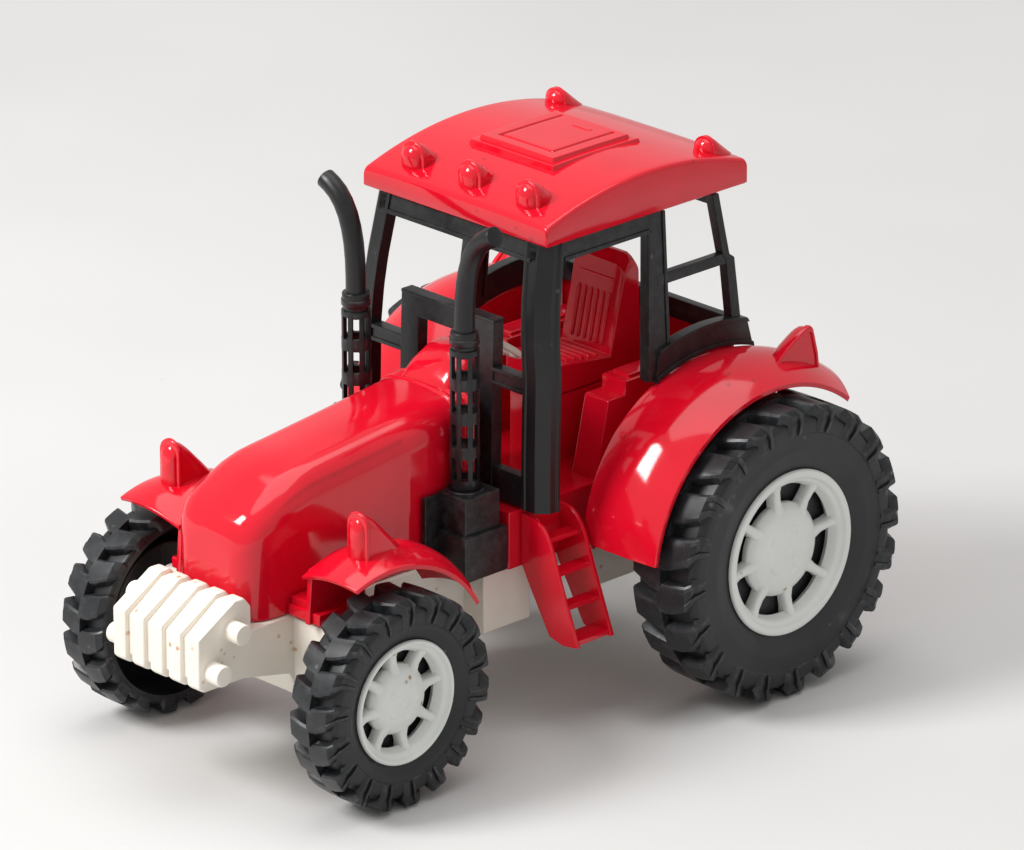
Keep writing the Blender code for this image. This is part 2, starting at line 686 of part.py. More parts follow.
def front_fender(side):
    edge = FRONT_TYRE_RADIUS + FRONT_FENDER_CLEARANCE
    inner, outer = FRONT_FENDER_X
    centre = (FRONT_AXLE_Y, FRONT_TYRE_RADIUS)
    stops = [(30, 1.0 * MM, 2.9 * MM), (60, 0.6 * MM, 2.9 * MM), (90, -0.9 * MM, 2.6 * MM),
             (111, -2.2 * MM, 1.5 * MM)]
    span = (side * inner, side * outer)
    shell = swept_shell("fender", span, centre, edge, between(stops, 12), FENDER_WALL)
    foot = DECK_Z + GAP
    crown = arc(centre, edge - 1.4 * MM, 80, 107, 4)
    web = prism_x("web", [*crown, (FRONT_AXLE_Y - 8.8 * MM, foot), (FRONT_AXLE_Y + 8 * MM, foot)],
                  side * (inner + 0.3 * MM), side * (inner + 1.7 * MM))
    base = box("base", (side * (HOOD_HALF_WIDTH + GAP), FRONT_AXLE_Y - 8.0 * MM, foot + 0.1 * MM),
               (side * (inner + 4.0 * MM), FRONT_AXLE_Y + 6.2 * MM, foot + 2.6 * MM))
    step = box("step", (side * (HOOD_HALF_WIDTH + GAP + 0.1 * MM), FRONT_AXLE_Y - 7.2 * MM,
                        foot + 0.4 * MM),
               (side * (inner + 1.0 * MM), FRONT_AXLE_Y - 1.0 * MM, foot + 4.2 * MM))
    lamp = lamp_pod(side * (inner + 0.565 * (outer - inner)), FRONT_AXLE_Y - 3.6 * MM,
                    FRONT_TYRE_RADIUS + edge - GAP, 3.0 * MM, 11.8 * MM, 13.0 * MM)
    fender = join(shell, web, base, step, lamp)
    return finish(fender, f"front_fender_{side_name(side)}", "glossy_red", 40)


def lamp_pod(x, y, z, half, high, long):
    """A bullet-shaped lamp: a round-topped face with a body that fades away behind it."""
    rings = []
    for share, width, height in ((0, 0.9, 0.95), (0.06, 1, 1), (0.26, 1, 0.98),
                                 (0.5, 0.86, 0.84), (0.76, 0.6, 0.55), (1, 0.3, 0.16)):
        w, h = half * width, high * height
        crown = arc((0, h - w), w, 0, 180, 6) if h > w else arc((0, 0.2 * h), w, 0, 180, 6)
        rings.append([(x + dx, y + share * long, z + dz)
                      for dx, dz in [(w, -0.6 * MM), *crown, (-w, -0.6 * MM)]])
    return loft("lamp", rings)


def rear_fender(side):
    edge = REAR_TYRE_RADIUS + REAR_FENDER_CLEARANCE
    inner, outer = REAR_FENDER_X
    centre = (REAR_AXLE_Y, REAR_TYRE_RADIUS)
    stops = [(50, 2.2 * MM, 3.8 * MM), (62, 2.3 * MM, 3.2 * MM), (90, 2.3 * MM, 2.6 * MM),
             (132, 2.3 * MM, 2.6 * MM), (172, 0.4 * MM, 0.6 * MM)]
    path = between(stops, 20)
    span = (side * inner, side * outer)
    shell = swept_shell("fender", span, centre, edge, path, FENDER_WALL)
    rim_line = [arc(centre, edge + rise - 0.5 * MM, angle, angle, 1)[0]
                for angle, rise, _ in path[1:-1]]
    foot = [(REAR_AXLE_Y - REAR_TYRE_RADIUS - 1 * MM, REAR_TYRE_RADIUS + 3 * MM),
            (REAR_AXLE_Y - REAR_TYRE_RADIUS + 6 * MM, FLOOR_Z), (REAR_AXLE_Y + 17 * MM, FLOOR_Z)]
    wall = prism_x("wall", rim_line + foot, side * (inner + 0.2 * MM),
                   side * (inner + 1.5 * MM))
    lugs = [
        box("lug", (side * (TUB_HALF_WIDTH + GAP), y - 3 * MM, FLOOR_Z + 0.5 * MM),
            (side * (inner + 0.6 * MM), y + 3 * MM, FLOOR_Z + 3.5 * MM))
        for y in (REAR_AXLE_Y - REAR_TYRE_RADIUS + 13 * MM, REAR_AXLE_Y + 6 * MM)
    ]
    fender = join(shell, wall, *lugs, fin_lamp(side * (inner + 0.62 * (outer - inner)), edge))
    return finish(fender, f"rear_fender_{side_name(side)}", "glossy_red", 40)


def fin_lamp(x, edge):
    """The fin-shaped lamp that stands on the fender's crown behind the cab."""
    centre = (REAR_AXLE_Y, REAR_TYRE_RADIUS)
    base, tip = edge + 1.6 * MM, edge + 11.0 * MM
    outline = [arc(centre, base, a, a, 1)[0] for a in (58, 64, 72, 82)]
    outline += [arc(centre, tip - drop * MM, a, a, 1)[0]
                for drop, a in ((3.4, 74.5), (0.4, 70.5), (0.0, 69), (0.5, 67.5))]
    middle = arc(centre, base, 67, 67, 1)[0]
    rings = []
    for across, share in ((-2.6, 0.72), (-1.6, 1.0), (1.6, 1.0), (2.6, 0.72)):
        rings.append([(x + across * MM, middle[0] + (py - middle[0]) * share,
                       middle[1] + (pz - middle[1]) * share) for py, pz in outline])
    return loft("fin", rings)


# Cab

PEDESTAL_HALF_WIDTH = 7.8 * MM
SEAT_FRONT_Y = SHIELD_Y + 26.5 * MM
SEAT_BACK_Y = SEAT_FRONT_Y + 16.5 * MM
SEAT_BASE_Z = 62.0 * MM
CONSOLE_TOP_Z = 67.5 * MM
PANEL_TOP_Z = 72.4 * MM
SHIELD_LEAN = (  # (height, how far back)
    (60.0 * MM, 0.0), (85.0 * MM, 0.6 * MM), (92.0 * MM, 1.3 * MM), (RAIL_Z, 3.8 * MM),
)
PILLAR_CHAMFER = 2.8 * MM
PILLAR_FRONT = 3.6 * MM
PILLAR_SIDE = 2.6 * MM
FRAME_DEPTH = 2.8 * MM
STEP_HALF_WIDTH = 14.2 * MM
POST_WIDTH = 5.4 * MM
STEP_TOP_Z = 87.4 * MM
STEP_BAR = 5.2 * MM
RAIL_HEIGHT = 4.2 * MM
FRONT_SILL_TOP_Z = 54.9 * MM
SILL_BAR = 3.6 * MM


def cab_tub():
    """Floor, sills, seat pedestal, side consoles and rear panel in one moulding."""
    half, front, rear = TUB_HALF_WIDTH, TUB_FRONT_Y, TUB_REAR_Y
    arch = REAR_AXLE_Y - 13 * MM
    outline = [
        (front, SKIRT_Z), (arch, SKIRT_Z), (arch + 3 * MM, FLOOR_Z - 3 * MM),
        (rear - 3 * MM, FLOOR_Z - 3 * MM), (rear - 1.5 * MM, SKIRT_Z), (rear, SKIRT_Z),
        (rear, FLOOR_Z), (front, FLOOR_Z),
    ]
    tub = prism_x("tub", outline, -half, half)
    cut(tub, box("hollow", (-half + WALL, front + WALL, SKIRT_Z - MM),
                 (half - WALL, rear - WALL, FLOOR_Z - WALL)))
    parts = [
        box("pedestal", (-PEDESTAL_HALF_WIDTH, SEAT_FRONT_Y, FLOOR_Z - WALL / 2),
            (PEDESTAL_HALF_WIDTH, SEAT_BACK_Y + 5 * MM, SEAT_BASE_Z)),
        box("panel", (-CAB_HALF_WIDTH + MM, rear - WALL, SKIRT_Z + 10 * MM),
            (CAB_HALF_WIDTH - MM, rear, PANEL_TOP_Z)),
    ]
    for side in (1, -1):
        x0, x1 = side * (PEDESTAL_HALF_WIDTH + 6.5 * MM), side * (half - 0.2 * MM)
        y0 = SEAT_FRONT_Y + 1 * MM
        parts.append(prism_x("console", [
            (y0 - 4 * MM, FLOOR_Z - WALL / 2), (y0, CONSOLE_TOP_Z - 3 * MM),
            (y0 + 5 * MM, CONSOLE_TOP_Z - 3 * MM), (y0 + 5 * MM, CONSOLE_TOP_Z),
            (rear - WALL / 2, CONSOLE_TOP_Z), (rear - WALL / 2, FLOOR_Z - WALL / 2),
        ], x0, x1))
    (x, y), under = screw_places()[1]
    for side in (1, -1):
        parts.append(rod("post", (side * x, y, under + FLOOR_THICKNESS + MM + GAP),
                         (side * x, y, FLOOR_Z - WALL / 2), BOSS_RADIUS, 12))
    join(tub, *parts)
    pilots = [
        rod("pilot", (side * x, y, under), (side * x, y, under + 14 * MM),
            SCREW_RADIUS + PRESS_GAP, 12)
        for side in (1, -1)
    ]
    return finish(cut(tub, *pilots), "cab_tub", "glossy_red", 35)


def seat():
    """A ribbed bucket seat on the pedestal: cushion and backrest in one piece."""
    base = SEAT_BASE_Z + GAP
    front, back = SEAT_FRONT_Y - 0.6 * MM, SEAT_BACK_Y
    outline = rounded([
        (front, base), (front - 0.4 * MM, base + 6.4 * MM), (back - 1.0 * MM, base + 4.8 * MM),
        (back + 3.2 * MM, base + 24.5 * MM), (back + 5.2 * MM, base + 27.0 * MM),
        (back + 7.4 * MM, base + 25.0 * MM), (back + 8.2 * MM, base),
    ], 1.0 * MM, 2)
    half = PEDESTAL_HALF_WIDTH
    obj = loft("seat", [
        [(x, y, base + (z - base) * high) for y, z in outline]
        for x, high in ((-half, 0.94), (-half + 1.2 * MM, 1), (half - 1.2 * MM, 1), (half, 0.94))
    ])
    return finish(obj, "seat", "glossy_red", 35)


def frame_x(z):
    """Outside of the cab frame's sides at a height: they lean out below the roof."""
    share = min((RAIL_Z - z) / (RAIL_Z - SILL_Z), 1)
    return CAB_HALF_WIDTH + CAB_SPLAY * share


def shield_y(z):
    """Front face of the windshield at a height: upright, then leaning back to the roof."""
    for (z0, y0), (z1, y1) in zip(SHIELD_LEAN, SHIELD_LEAN[1:]):
        if z < z1 or z1 == RAIL_Z:
            return SHIELD_Y + y0 + (y1 - y0) * max(z - z0, 0) / (z1 - z0)


def heights(low, high):
    """The heights that a loft in the windshield's plane needs, from low to high."""
    return [low, *(z for z, _ in SHIELD_LEAN if low < z < high), high]


def a_pillar(side):
    rings = []
    for z in sorted({*heights(FLOOR_Z + GAP, RAIL_Z), SILL_Z}):
        x, y, c = frame_x(z), shield_y(z), PILLAR_CHAMFER
        ring = [
            (x - c - PILLAR_FRONT, y), (x - c, y), (x, y + c), (x, y + c + PILLAR_SIDE),
            (x - FRAME_DEPTH, y + c + PILLAR_SIDE), (x - FRAME_DEPTH, y + SHIELD_DEPTH + 0.8 * MM),
            (x - c - 0.8 * MM, y + SHIELD_DEPTH), (x - c - PILLAR_FRONT, y + SHIELD_DEPTH),
        ]
        rings.append([(side * px, py, z) for px, py in ring])
    return loft("a_pillar", rings)


def cross_bar(x0, x1, low, high, inset):
    """A bar in the windshield's plane between two widths, set in from its faces."""
    rings = []
    for z in heights(low, high):
        y0, y1 = shield_y(z) + inset, shield_y(z) + SHIELD_DEPTH - inset
        rings.append([(x0, y0, z), (x1, y0, z), (x1, y1, z), (x0, y1, z)])
    return loft("bar", rings)


def side_bar(side, stations, inset):
    """A pillar or rail in the cab's side: (front y, rear y, z) from top to bottom."""
    rings = []
    for y0, y1, z in stations:
        x0, x1 = frame_x(z) - inset, frame_x(z) - FRAME_DEPTH + inset
        ring = [(x0, y0), (x0, y1), (x1, y1), (x1, y0)]
        rings.append([(side * px, py, z) for px, py in ring])
    return loft("side_bar", rings)


PANEL_FOOT_RADIUS = REAR_TYRE_RADIUS + REAR_FENDER_CLEARANCE + REAR_FENDER_CREST + GAP


def panel_foot(y):
    """Height of the arched panel's lower edge at y, just above the rear fender."""
    return REAR_TYRE_RADIUS + math.sqrt(PANEL_FOOT_RADIUS ** 2 - (y - REAR_AXLE_Y) ** 2)


def arched_panel(side):
    """The panel that sits on the rear fender and closes the cab's corner above it."""
    centre = (REAR_AXLE_Y, REAR_TYRE_RADIUS)
    low = arc(centre, PANEL_FOOT_RADIUS, 69.5, 114, 7)
    high = arc(centre, PANEL_FOOT_RADIUS + 6.0 * MM, 109, 75, 6)
    x = frame_x(SILL_Z)
    return prism_x("arched_panel", [*low, *high], side * (x - 2.2 * MM), side * (x + 0.6 * MM))


def cab_frame():
    """Windshield frame, pillars, rails and the panels over the rear fenders, as one piece."""
    b_post, c_post = REAR_AXLE_Y - 17.8 * MM, REAR_AXLE_Y + 3.8 * MM
    window_half = frame_x(SILL_Z) - PILLAR_CHAMFER - PILLAR_FRONT + 0.6 * MM
    rail_front = shield_y(RAIL_Z) + PILLAR_CHAMFER + 0.4 * MM
    b_foot, c_foot = panel_foot(b_post), panel_foot(c_post + 3.9 * MM)
    lap = 0.5 * MM
    parts = [a_pillar(-1)]
    for side in (1, -1):
        outer, inner = side * STEP_HALF_WIDTH, side * (STEP_HALF_WIDTH - POST_WIDTH)
        parts += [
            cross_bar(*sorted((inner, outer)), FLOOR_Z + GAP, STEP_TOP_Z - lap, 0.15 * MM),
            cross_bar(*sorted((inner + side * lap, side * window_half)),
                      FLOOR_Z + 2 * GAP, FRONT_SILL_TOP_Z, 0.3 * MM),
            cross_bar(*sorted((outer - side * lap, side * window_half)),
                      SILL_Z - SILL_BAR, SILL_Z, 0.4 * MM),
            side_bar(side, [  # B pillar, its foot cut to the fender's curve
                (b_post + 2.2 * MM, b_post + 7.2 * MM, RAIL_Z - lap),
                (b_post, b_post + 6.5 * MM, b_foot + 5.85 * MM),
                (b_post, b_post + 6.5 * MM, b_foot + 4.25 * MM),
                (b_post, b_post + 1.2 * MM, b_foot + 1.25 * MM),
            ], 0.0),
            side_bar(side, [  # C pillar, with a small step where the quarter bar joins it
                (c_post, c_post + 2.0 * MM, RAIL_Z - lap),
                (c_post + 2.2 * MM, c_post + 4.2 * MM, 91.8 * MM),
                (c_post + 3.0 * MM, c_post + 5.6 * MM, 90.8 * MM),
                (c_post + 3.9 * MM, c_post + 6.7 * MM, c_foot + 3.35 * MM),
            ], 0.2 * MM),
            side_bar(side, [  # rail under the roof, over the door
                (rail_front, b_post + 6.0 * MM, RAIL_Z - 0.1 * MM),
                (rail_front, b_post + 6.0 * MM, RAIL_Z - RAIL_HEIGHT),
            ], 0.25 * MM),
            side_bar(side, [  # bar across the quarter window
                (b_post + 4 * MM, c_post + 4.0 * MM, 92.2 * MM),
                (b_post + 4 * MM, c_post + 4.6 * MM, 89.8 * MM),
            ], 0.4 * MM),
            arched_panel(side),
        ]
    top_half = frame_x(RAIL_Z) - PILLAR_CHAMFER - lap
    rear_half = frame_x(SILL_Z) - MM
    parts += [
        cross_bar(-top_half, top_half, RAIL_Z - RAIL_HEIGHT, RAIL_Z - 0.2 * MM, 0.3 * MM),
        cross_bar(-STEP_HALF_WIDTH + 0.1 * MM, STEP_HALF_WIDTH - 0.1 * MM,
                  STEP_TOP_Z - STEP_BAR, STEP_TOP_Z, 0.3 * MM),
        box("rear_rail", (-CAB_HALF_WIDTH + MM, c_post + 0.3 * MM, RAIL_Z - 3.0 * MM),
            (CAB_HALF_WIDTH - MM, c_post + 1.8 * MM, RAIL_Z - 0.3 * MM)),
        box("rear_bar", (-rear_half, c_post + 4.2 * MM, PANEL_TOP_Z + GAP),
            (rear_half, c_post + 6.4 * MM, 77.4 * MM)),
    ]
    frame = join(a_pillar(1), *parts)
    return finish(frame, "cab_frame", "satin_black", 35)


# Roof

ROOF_HALF_WIDTH = CAB_HALF_WIDTH + 1.0 * MM
ROOF_FRONT_Y = SHIELD_Y + 3.0 * MM
ROOF_REAR_Y = REAR_AXLE_Y + 13.1 * MM
ROOF_LOW_Z = RAIL_Z + GAP
HATCH_FRONT_Y = SHIELD_Y + 19.6 * MM
HATCH_REAR_Y = SHIELD_Y + 45.4 * MM
HATCH_HALF_WIDTH = 12.6 * MM


def roof_crown(y):
    """Height of the roof's middle at y: an arch from front edge to rear edge."""
    share = (y - ROOF_FRONT_Y) / (ROOF_REAR_Y - ROOF_FRONT_Y)
    return ROOF_LOW_Z + (4.6 + 1.5 * share + 5.0 * (1 - (2 * share - 0.98) ** 2)) * MM


def roof_section(y, tuck, drop, low):
    half = ROOF_HALF_WIDTH - tuck
    top = roof_crown(y) - drop
    outline = [
        (half - 0.3 * MM, low), (half, low + 0.6 * MM), (half - 0.1 * MM, top - 2.2 * MM),
        (half - 0.9 * MM, top - 1.1 * MM), (half - 2.8 * MM, top - 0.6 * MM),
        (0.5 * half, top - 0.15 * MM),
    ]
    left = [(x, y, z) for x, z in outline]
    return left + [(-x, y, z) for x, _, z in reversed(left)]


def roof():
    """A thin arched lid with a recess underneath, five lamps and a hatch on top."""
    span = ROOF_REAR_Y - ROOF_FRONT_Y
    rows = ((0.0, 1.6, 1.6), (0.012, 0.5, 0.6), (0.045, 0.0, 0.0), (0.15, 0, 0), (0.28, 0, 0),
            (0.42, 0, 0), (0.56, 0, 0), (0.7, 0, 0), (0.84, 0, 0), (0.955, 0.0, 0.0),
            (0.988, 0.5, 0.6), (1.0, 1.6, 1.6))
    shell = loft("roof", [
        roof_section(ROOF_FRONT_Y + share * span, tuck * MM, drop * MM, ROOF_LOW_Z)
        for share, tuck, drop in rows
    ])
    lamps = [lamp_pod(x, ROOF_FRONT_Y + 4.0 * MM, roof_crown(ROOF_FRONT_Y + 4 * MM) - 0.8 * MM,
                      2.7 * MM, 5.5 * MM, 9.0 * MM)
             for x in (-ROOF_HALF_WIDTH + 10.5 * MM, 0.0, ROOF_HALF_WIDTH - 10.5 * MM)]
    lamps += [turned_dome(side * (ROOF_HALF_WIDTH - 5.3 * MM), ROOF_REAR_Y - 4.6 * MM,
                          3.3 * MM, 4.2 * MM)
              for side in (1, -1)]
    tiers = []
    for inset, rise in ((0.0, 0.5), (1.6 * MM, 1.3)):
        rings = []
        for k in range(6):
            y = HATCH_FRONT_Y + inset + (HATCH_REAR_Y - HATCH_FRONT_Y - 2 * inset) * k / 5
            half = HATCH_HALF_WIDTH - inset
            top = roof_crown(y) + rise * MM
            rings.append([(half, y, top - 3.2 * MM), (half - 0.25 * MM, y, top),
                          (-half + 0.25 * MM, y, top), (-half, y, top - 3.2 * MM)])
        tiers.append(loft("hatch", rings))
    recess = [
        roof_section(ROOF_FRONT_Y + share * span, 2.0 * MM, 2.0 * MM, ROOF_LOW_Z - MM)
        for share in (0.05, 0.2, 0.35, 0.5, 0.65, 0.8, 0.95)
    ]
    obj = cut(join(shell, *lamps, *tiers), loft("recess", recess))
    return finish(obj, "roof", "glossy_red", 40)


def turned_dome(x, y, radius, high):
    """A domed rear lamp, standing on the roof."""
    base = roof_crown(y) - 1.6 * MM
    rings = []
    for share, width in ((0, 1), (0.4, 0.94), (0.75, 0.68), (0.95, 0.34), (1.0, 0.12)):
        rings.append([(px, py, base + share * high)
                      for px, py in arc((x, y), radius * width, 0, 330, 11)])
    return loft("dome", rings)


# Stacks, boxes and ladders

STACK_X = 16.6 * MM
STACK_Y = SHIELD_Y - 10.0 * MM
CAGE_RADIUS = 3.2 * MM
CAGE_WALL = 0.95 * MM
PIPE_RADIUS = 2.2 * MM
UPPER_BOX_Z = (45.2 * MM, 53.4 * MM)
LOWER_BOX_Z = (35.0 * MM, 45.2 * MM)
CAGE_ROWS = 4
CAGE_PITCH = 7.6 * MM
SLOT_HEIGHT = 5.0 * MM


def side_box(side):
    """The two-tier box beside the hood that carries the stack."""
    inner = HOOD_HALF_WIDTH + GAP + 0.3 * MM
    y0, y1 = STACK_Y - 5.2 * MM, STACK_Y + 5.2 * MM
    upper = box("upper", (side * inner, y0, UPPER_BOX_Z[0] - MM),
                (side * 22.0 * MM, y1, UPPER_BOX_Z[1]))
    lower = box("lower", (side * (CHASSIS_HALF_WIDTH + GAP + 0.1 * MM), y0 - 1.1 * MM,
                          LOWER_BOX_Z[0]),
                (side * 23.1 * MM, y1 + 1.1 * MM, LOWER_BOX_Z[1]))
    flange = box("flange", (side * inner, y0 - 4.5 * MM, LOWER_BOX_Z[0] + 2.6 * MM),
                 (side * (inner + 1.2 * MM), y0 + MM, UPPER_BOX_Z[1] - 0.4 * MM))
    socket = rod("socket", (side * STACK_X, STACK_Y, UPPER_BOX_Z[1] - 3 * MM),
                 (side * STACK_X, STACK_Y, UPPER_BOX_Z[1] + MM), CAGE_RADIUS - 0.9 * MM, 16)
    obj = cut(join(upper, lower, flange), socket)
    return finish(obj, f"side_box_{side_name(side)}", "satin_black", 35)


def exhaust_stack(side):
    """A slotted cage, a collar and a pipe that bends outwards at its mouth."""
    x, y = side * STACK_X, STACK_Y
    foot = UPPER_BOX_Z[1] + GAP
    cage_top = foot + 31.2 * MM
    cage = rod("cage", (x, y, foot), (x, y, cage_top), CAGE_RADIUS, 16)
    spigot = rod("spigot", (x, y, foot - 2.6 * MM), (x, y, foot + MM),
                 CAGE_RADIUS - 0.9 * MM - GAP, 16)
    neck = rod("neck", (x, y, cage_top - MM), (x, y, cage_top + 2 * MM), 2.8 * MM, 16)
    collar = rod("collar", (x, y, cage_top + 0.9 * MM), (x, y, cage_top + 3.9 * MM),
                 CAGE_RADIUS, 16)
    route = [(0, 83), (0, 88), (0.1, 95.5), (0.9, 102.2), (3.0, 107.2), (6.2, 110.2), (9.4, 112.0)]
    pipe = tube([(side * (STACK_X + dx * MM), y, z * MM) for dx, z in route], PIPE_RADIUS, 12)
    hollow = rod("hollow", (x, y, foot + 1.5 * MM), (x, y, cage_top - 1.5 * MM),
                 CAGE_RADIUS - CAGE_WALL, 12)
    slots = []
    for row in range(CAGE_ROWS):
        z = foot + 2.2 * MM + row * CAGE_PITCH
        for turn in (45, -45, 0, 90):
            slots.append(slot_bar(x, y, z, turn))
    body = join(cage, spigot, neck, collar, pipe)
    return finish(cut(body, hollow, *slots), f"exhaust_stack_{side_name(side)}",
                  "satin_black", 35)


def slot_bar(x, y, z, turn):
    """A bar through the cage at a turn about its axis, which leaves two facing slots."""
    a = math.radians(turn)
    long, wide = CAGE_RADIUS + MM, 0.72 * MM
    ring = []
    for along, across in ((-long, -wide), (long, -wide), (long, wide), (-long, wide)):
        ring.append((x + along * math.cos(a) - across * math.sin(a),
                     y + along * math.sin(a) + across * math.cos(a)))
    return loft("slot", [[(px, py, h) for px, py in ring] for h in (z, z + SLOT_HEIGHT)])


def tube(route, radius, sides):
    """A round pipe along a route in a plane of constant y."""
    rings = []
    for i, place in enumerate(route):
        before, after = Vector(route[max(i - 1, 0)]), Vector(route[min(i + 1, len(route) - 1)])
        ahead = (after - before).normalized()
        across = ahead.cross(Vector((0, 1, 0))).normalized()
        turns = [2 * math.pi * k / sides for k in range(sides)]
        rings.append([Vector(place) + (across * math.cos(a) + Vector((0, 1, 0)) * math.sin(a))
                      * radius for a in turns])
    return loft("tube", rings)


LADDER_Y = SHIELD_Y + 0.9 * MM
LADDER_WIDTH = 11.2 * MM
LADDER_WALL = 1.1 * MM


def ladder(side):
    """Two raking side plates, three rungs and a bottom step."""
    x0 = TUB_HALF_WIDTH + GAP
    outline = [(side * x, z * MM) for x, z in (
        (x0, 46.4), (x0 + 2.6 * MM, 46.4), (x0 + 6.0 * MM, 45.0), (x0 + 8.6 * MM, 41.6),
        (x0 + 13.0 * MM, 30.2), (x0 + 17.0 * MM, 20.2), (x0 + 12.6 * MM, 19.6),
        (x0 + 8.6 * MM, 20.6), (x0 + 3.6 * MM, 28.4), (x0, 35.0))]
    rear = LADDER_Y + LADDER_WIDTH
    plates = [prism_y("plate", outline, y, y + LADDER_WALL) for y in (LADDER_Y, rear - LADDER_WALL)]
    lap = 0.4 * MM
    rungs = []
    for x, z in ((5.4, 41.2), (8.2, 34.4), (11.0, 27.6)):
        low, high = sorted((side * (x0 + (x - 1.8) * MM), side * (x0 + (x + 1.6) * MM)))
        rungs.append(box("rung", (low, LADDER_Y + lap, (z - 0.5) * MM),
                         (high, rear - lap, (z + 0.6) * MM)))
    low, high = sorted((side * (x0 + 11 * MM), side * (x0 + 16.2 * MM)))
    rungs.append(box("step", (low, LADDER_Y + lap, 20.4 * MM), (high, rear - lap, 21.4 * MM)))
    low, high = sorted((side * (x0 + 0.2 * MM), side * (x0 + 1.2 * MM)))
    rungs.append(box("back", (low, LADDER_Y + lap, 36.0 * MM), (high, rear - lap, 46.0 * MM)))
    return finish(join(*plates, *rungs), f"ladder_{side_name(side)}", "glossy_red", 35)


def main():
    clear_scene()
    chassis()
    screws()
    wheels()
    hood()
    steering_wheel()
    cab_tub()
    seat()
    cab_frame()
    roof()
    for side in (1, -1):
        front_fender(side)
        rear_fender(side)
        side_box(side)
        exhaust_stack(side)
        ladder(side)


main()
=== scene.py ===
import math

import bmesh
import bpy
from mathutils import Matrix, Vector


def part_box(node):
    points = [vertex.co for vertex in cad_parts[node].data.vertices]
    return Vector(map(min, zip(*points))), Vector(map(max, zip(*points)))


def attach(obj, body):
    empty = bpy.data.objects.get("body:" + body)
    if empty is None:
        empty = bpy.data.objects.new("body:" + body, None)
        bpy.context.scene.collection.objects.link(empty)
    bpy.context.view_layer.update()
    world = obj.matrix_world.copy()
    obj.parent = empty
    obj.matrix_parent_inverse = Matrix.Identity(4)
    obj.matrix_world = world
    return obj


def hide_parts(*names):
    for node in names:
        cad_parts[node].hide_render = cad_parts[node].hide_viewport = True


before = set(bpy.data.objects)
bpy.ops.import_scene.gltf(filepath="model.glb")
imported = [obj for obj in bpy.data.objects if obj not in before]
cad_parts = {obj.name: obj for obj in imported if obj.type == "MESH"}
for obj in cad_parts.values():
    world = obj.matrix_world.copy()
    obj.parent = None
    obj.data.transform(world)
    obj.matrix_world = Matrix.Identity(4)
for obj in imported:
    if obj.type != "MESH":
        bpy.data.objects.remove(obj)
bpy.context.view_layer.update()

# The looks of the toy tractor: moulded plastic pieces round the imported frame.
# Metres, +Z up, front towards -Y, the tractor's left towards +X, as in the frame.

MM = 0.001


# Places, from the frame


def middle(node):
    low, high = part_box(node)
    return (low + high) / 2


def x_span(node):
    """A node's least and greatest distance from the tractor's middle plane."""
    return sorted(abs(corner.x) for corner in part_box(node))


FRONT = middle("front_axle")
REAR = middle("rear_axle")
HOOD_LOW, HOOD_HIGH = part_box("hood")
TUB_LOW, TUB_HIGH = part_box("cab_tub")
FRAME_LOW, FRAME_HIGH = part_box("cab_frame")
ROOF_LOW, ROOF_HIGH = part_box("roof")
CHASSIS_LOW, CHASSIS_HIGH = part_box("chassis")
SEAT_LOW, SEAT_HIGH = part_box("seat")

GAP = 0.3 * MM  # between pieces that meet
DECK = 37.0 * MM  # top of the chassis under the hood
FLOOR = FRAME_LOW.z - GAP  # of the cab
RAIL = FRAME_HIGH.z  # top of the cab frame
SHIELD = FRAME_LOW.y  # front of the windshield
SILL = 77.0 * MM  # height of the window sills
HOOD_HALF = 12.9 * MM
HOOD_FRONT, HOOD_REAR = HOOD_LOW.y, TUB_LOW.y - GAP
NOSE = CHASSIS_LOW.y
NOSE_HIGH = 44.6 * MM  # top of the nose weights
TUB_SKIRT = 34.0 * MM
TUB_HALF = 22.0 * MM
TUB_WALL = 1.3 * MM
STACK_Y = middle("exhaust_stack_left").y
STACK_CAGE = 3.2 * MM  # radius of the cage round a stack


# Meshes


def arc(centre, radius, start, end, steps):
    """Points on an arc, its angles in degrees from the first axis to the second."""
    angles = [math.radians(start + (end - start) * i / steps) for i in range(steps + 1)]
    return [(centre[0] + radius * math.cos(a), centre[1] + radius * math.sin(a)) for a in angles]


def mix(a, b, t):
    return a + (b - a) * t


def ease(t):
    """0 to 1, level at both ends."""
    t = min(max(t, 0.0), 1.0)
    return t * t * (3 - 2 * t)


def between(stops, at):
    """The values at a place along stops, each (place, value, ...), smoothly joined."""
    if at <= stops[0][0]:
        return stops[0][1:]
    for first, second in zip(stops, stops[1:]):
        if at <= second[0]:
            t = (at - first[0]) / (second[0] - first[0])
            return tuple(mix(a, b, t) for a, b in zip(first[1:], second[1:]))
    return stops[-1][1:]


def round_edges(made, radius, steps=2, over=32):
    """Rounds every edge that turns by more than an angle in degrees."""
    limit = math.radians(over)
    edges = [e for e in made.edges if len(e.link_faces) == 2 and e.calc_face_angle() > limit]
    if edges:
        bmesh.ops.bevel(made, geom=edges, offset=radius, offset_type="OFFSET", segments=steps,
                        profile=0.5, affect="EDGES", clamp_overlap=True)
    return made


def strip(made, first, second):
    """Faces between two closed rings of the same number of points."""
    for i in range(len(first)):
        j = (i + 1) % len(first)
        made.faces.new((first[i], first[j], second[j], second[i]))


def loft(rings, radius=0.0, steps=2, over=32, around=False):
    """A skin through rings of the same number of points, its edges rounded to the radius.

    around joins the last ring to the first, where both ends are closed without it.
    """
    made = bmesh.new()
    grid = [[made.verts.new(p) for p in ring] for ring in rings]
    for first, second in zip(grid, grid[1:] + grid[:1] if around else grid[1:]):
        strip(made, first, second)
    if not around:
        made.faces.new(grid[0])
        made.faces.new(grid[-1])
    bmesh.ops.recalc_face_normals(made, faces=made.faces)
    return round_edges(made, radius, steps, over) if radius else made


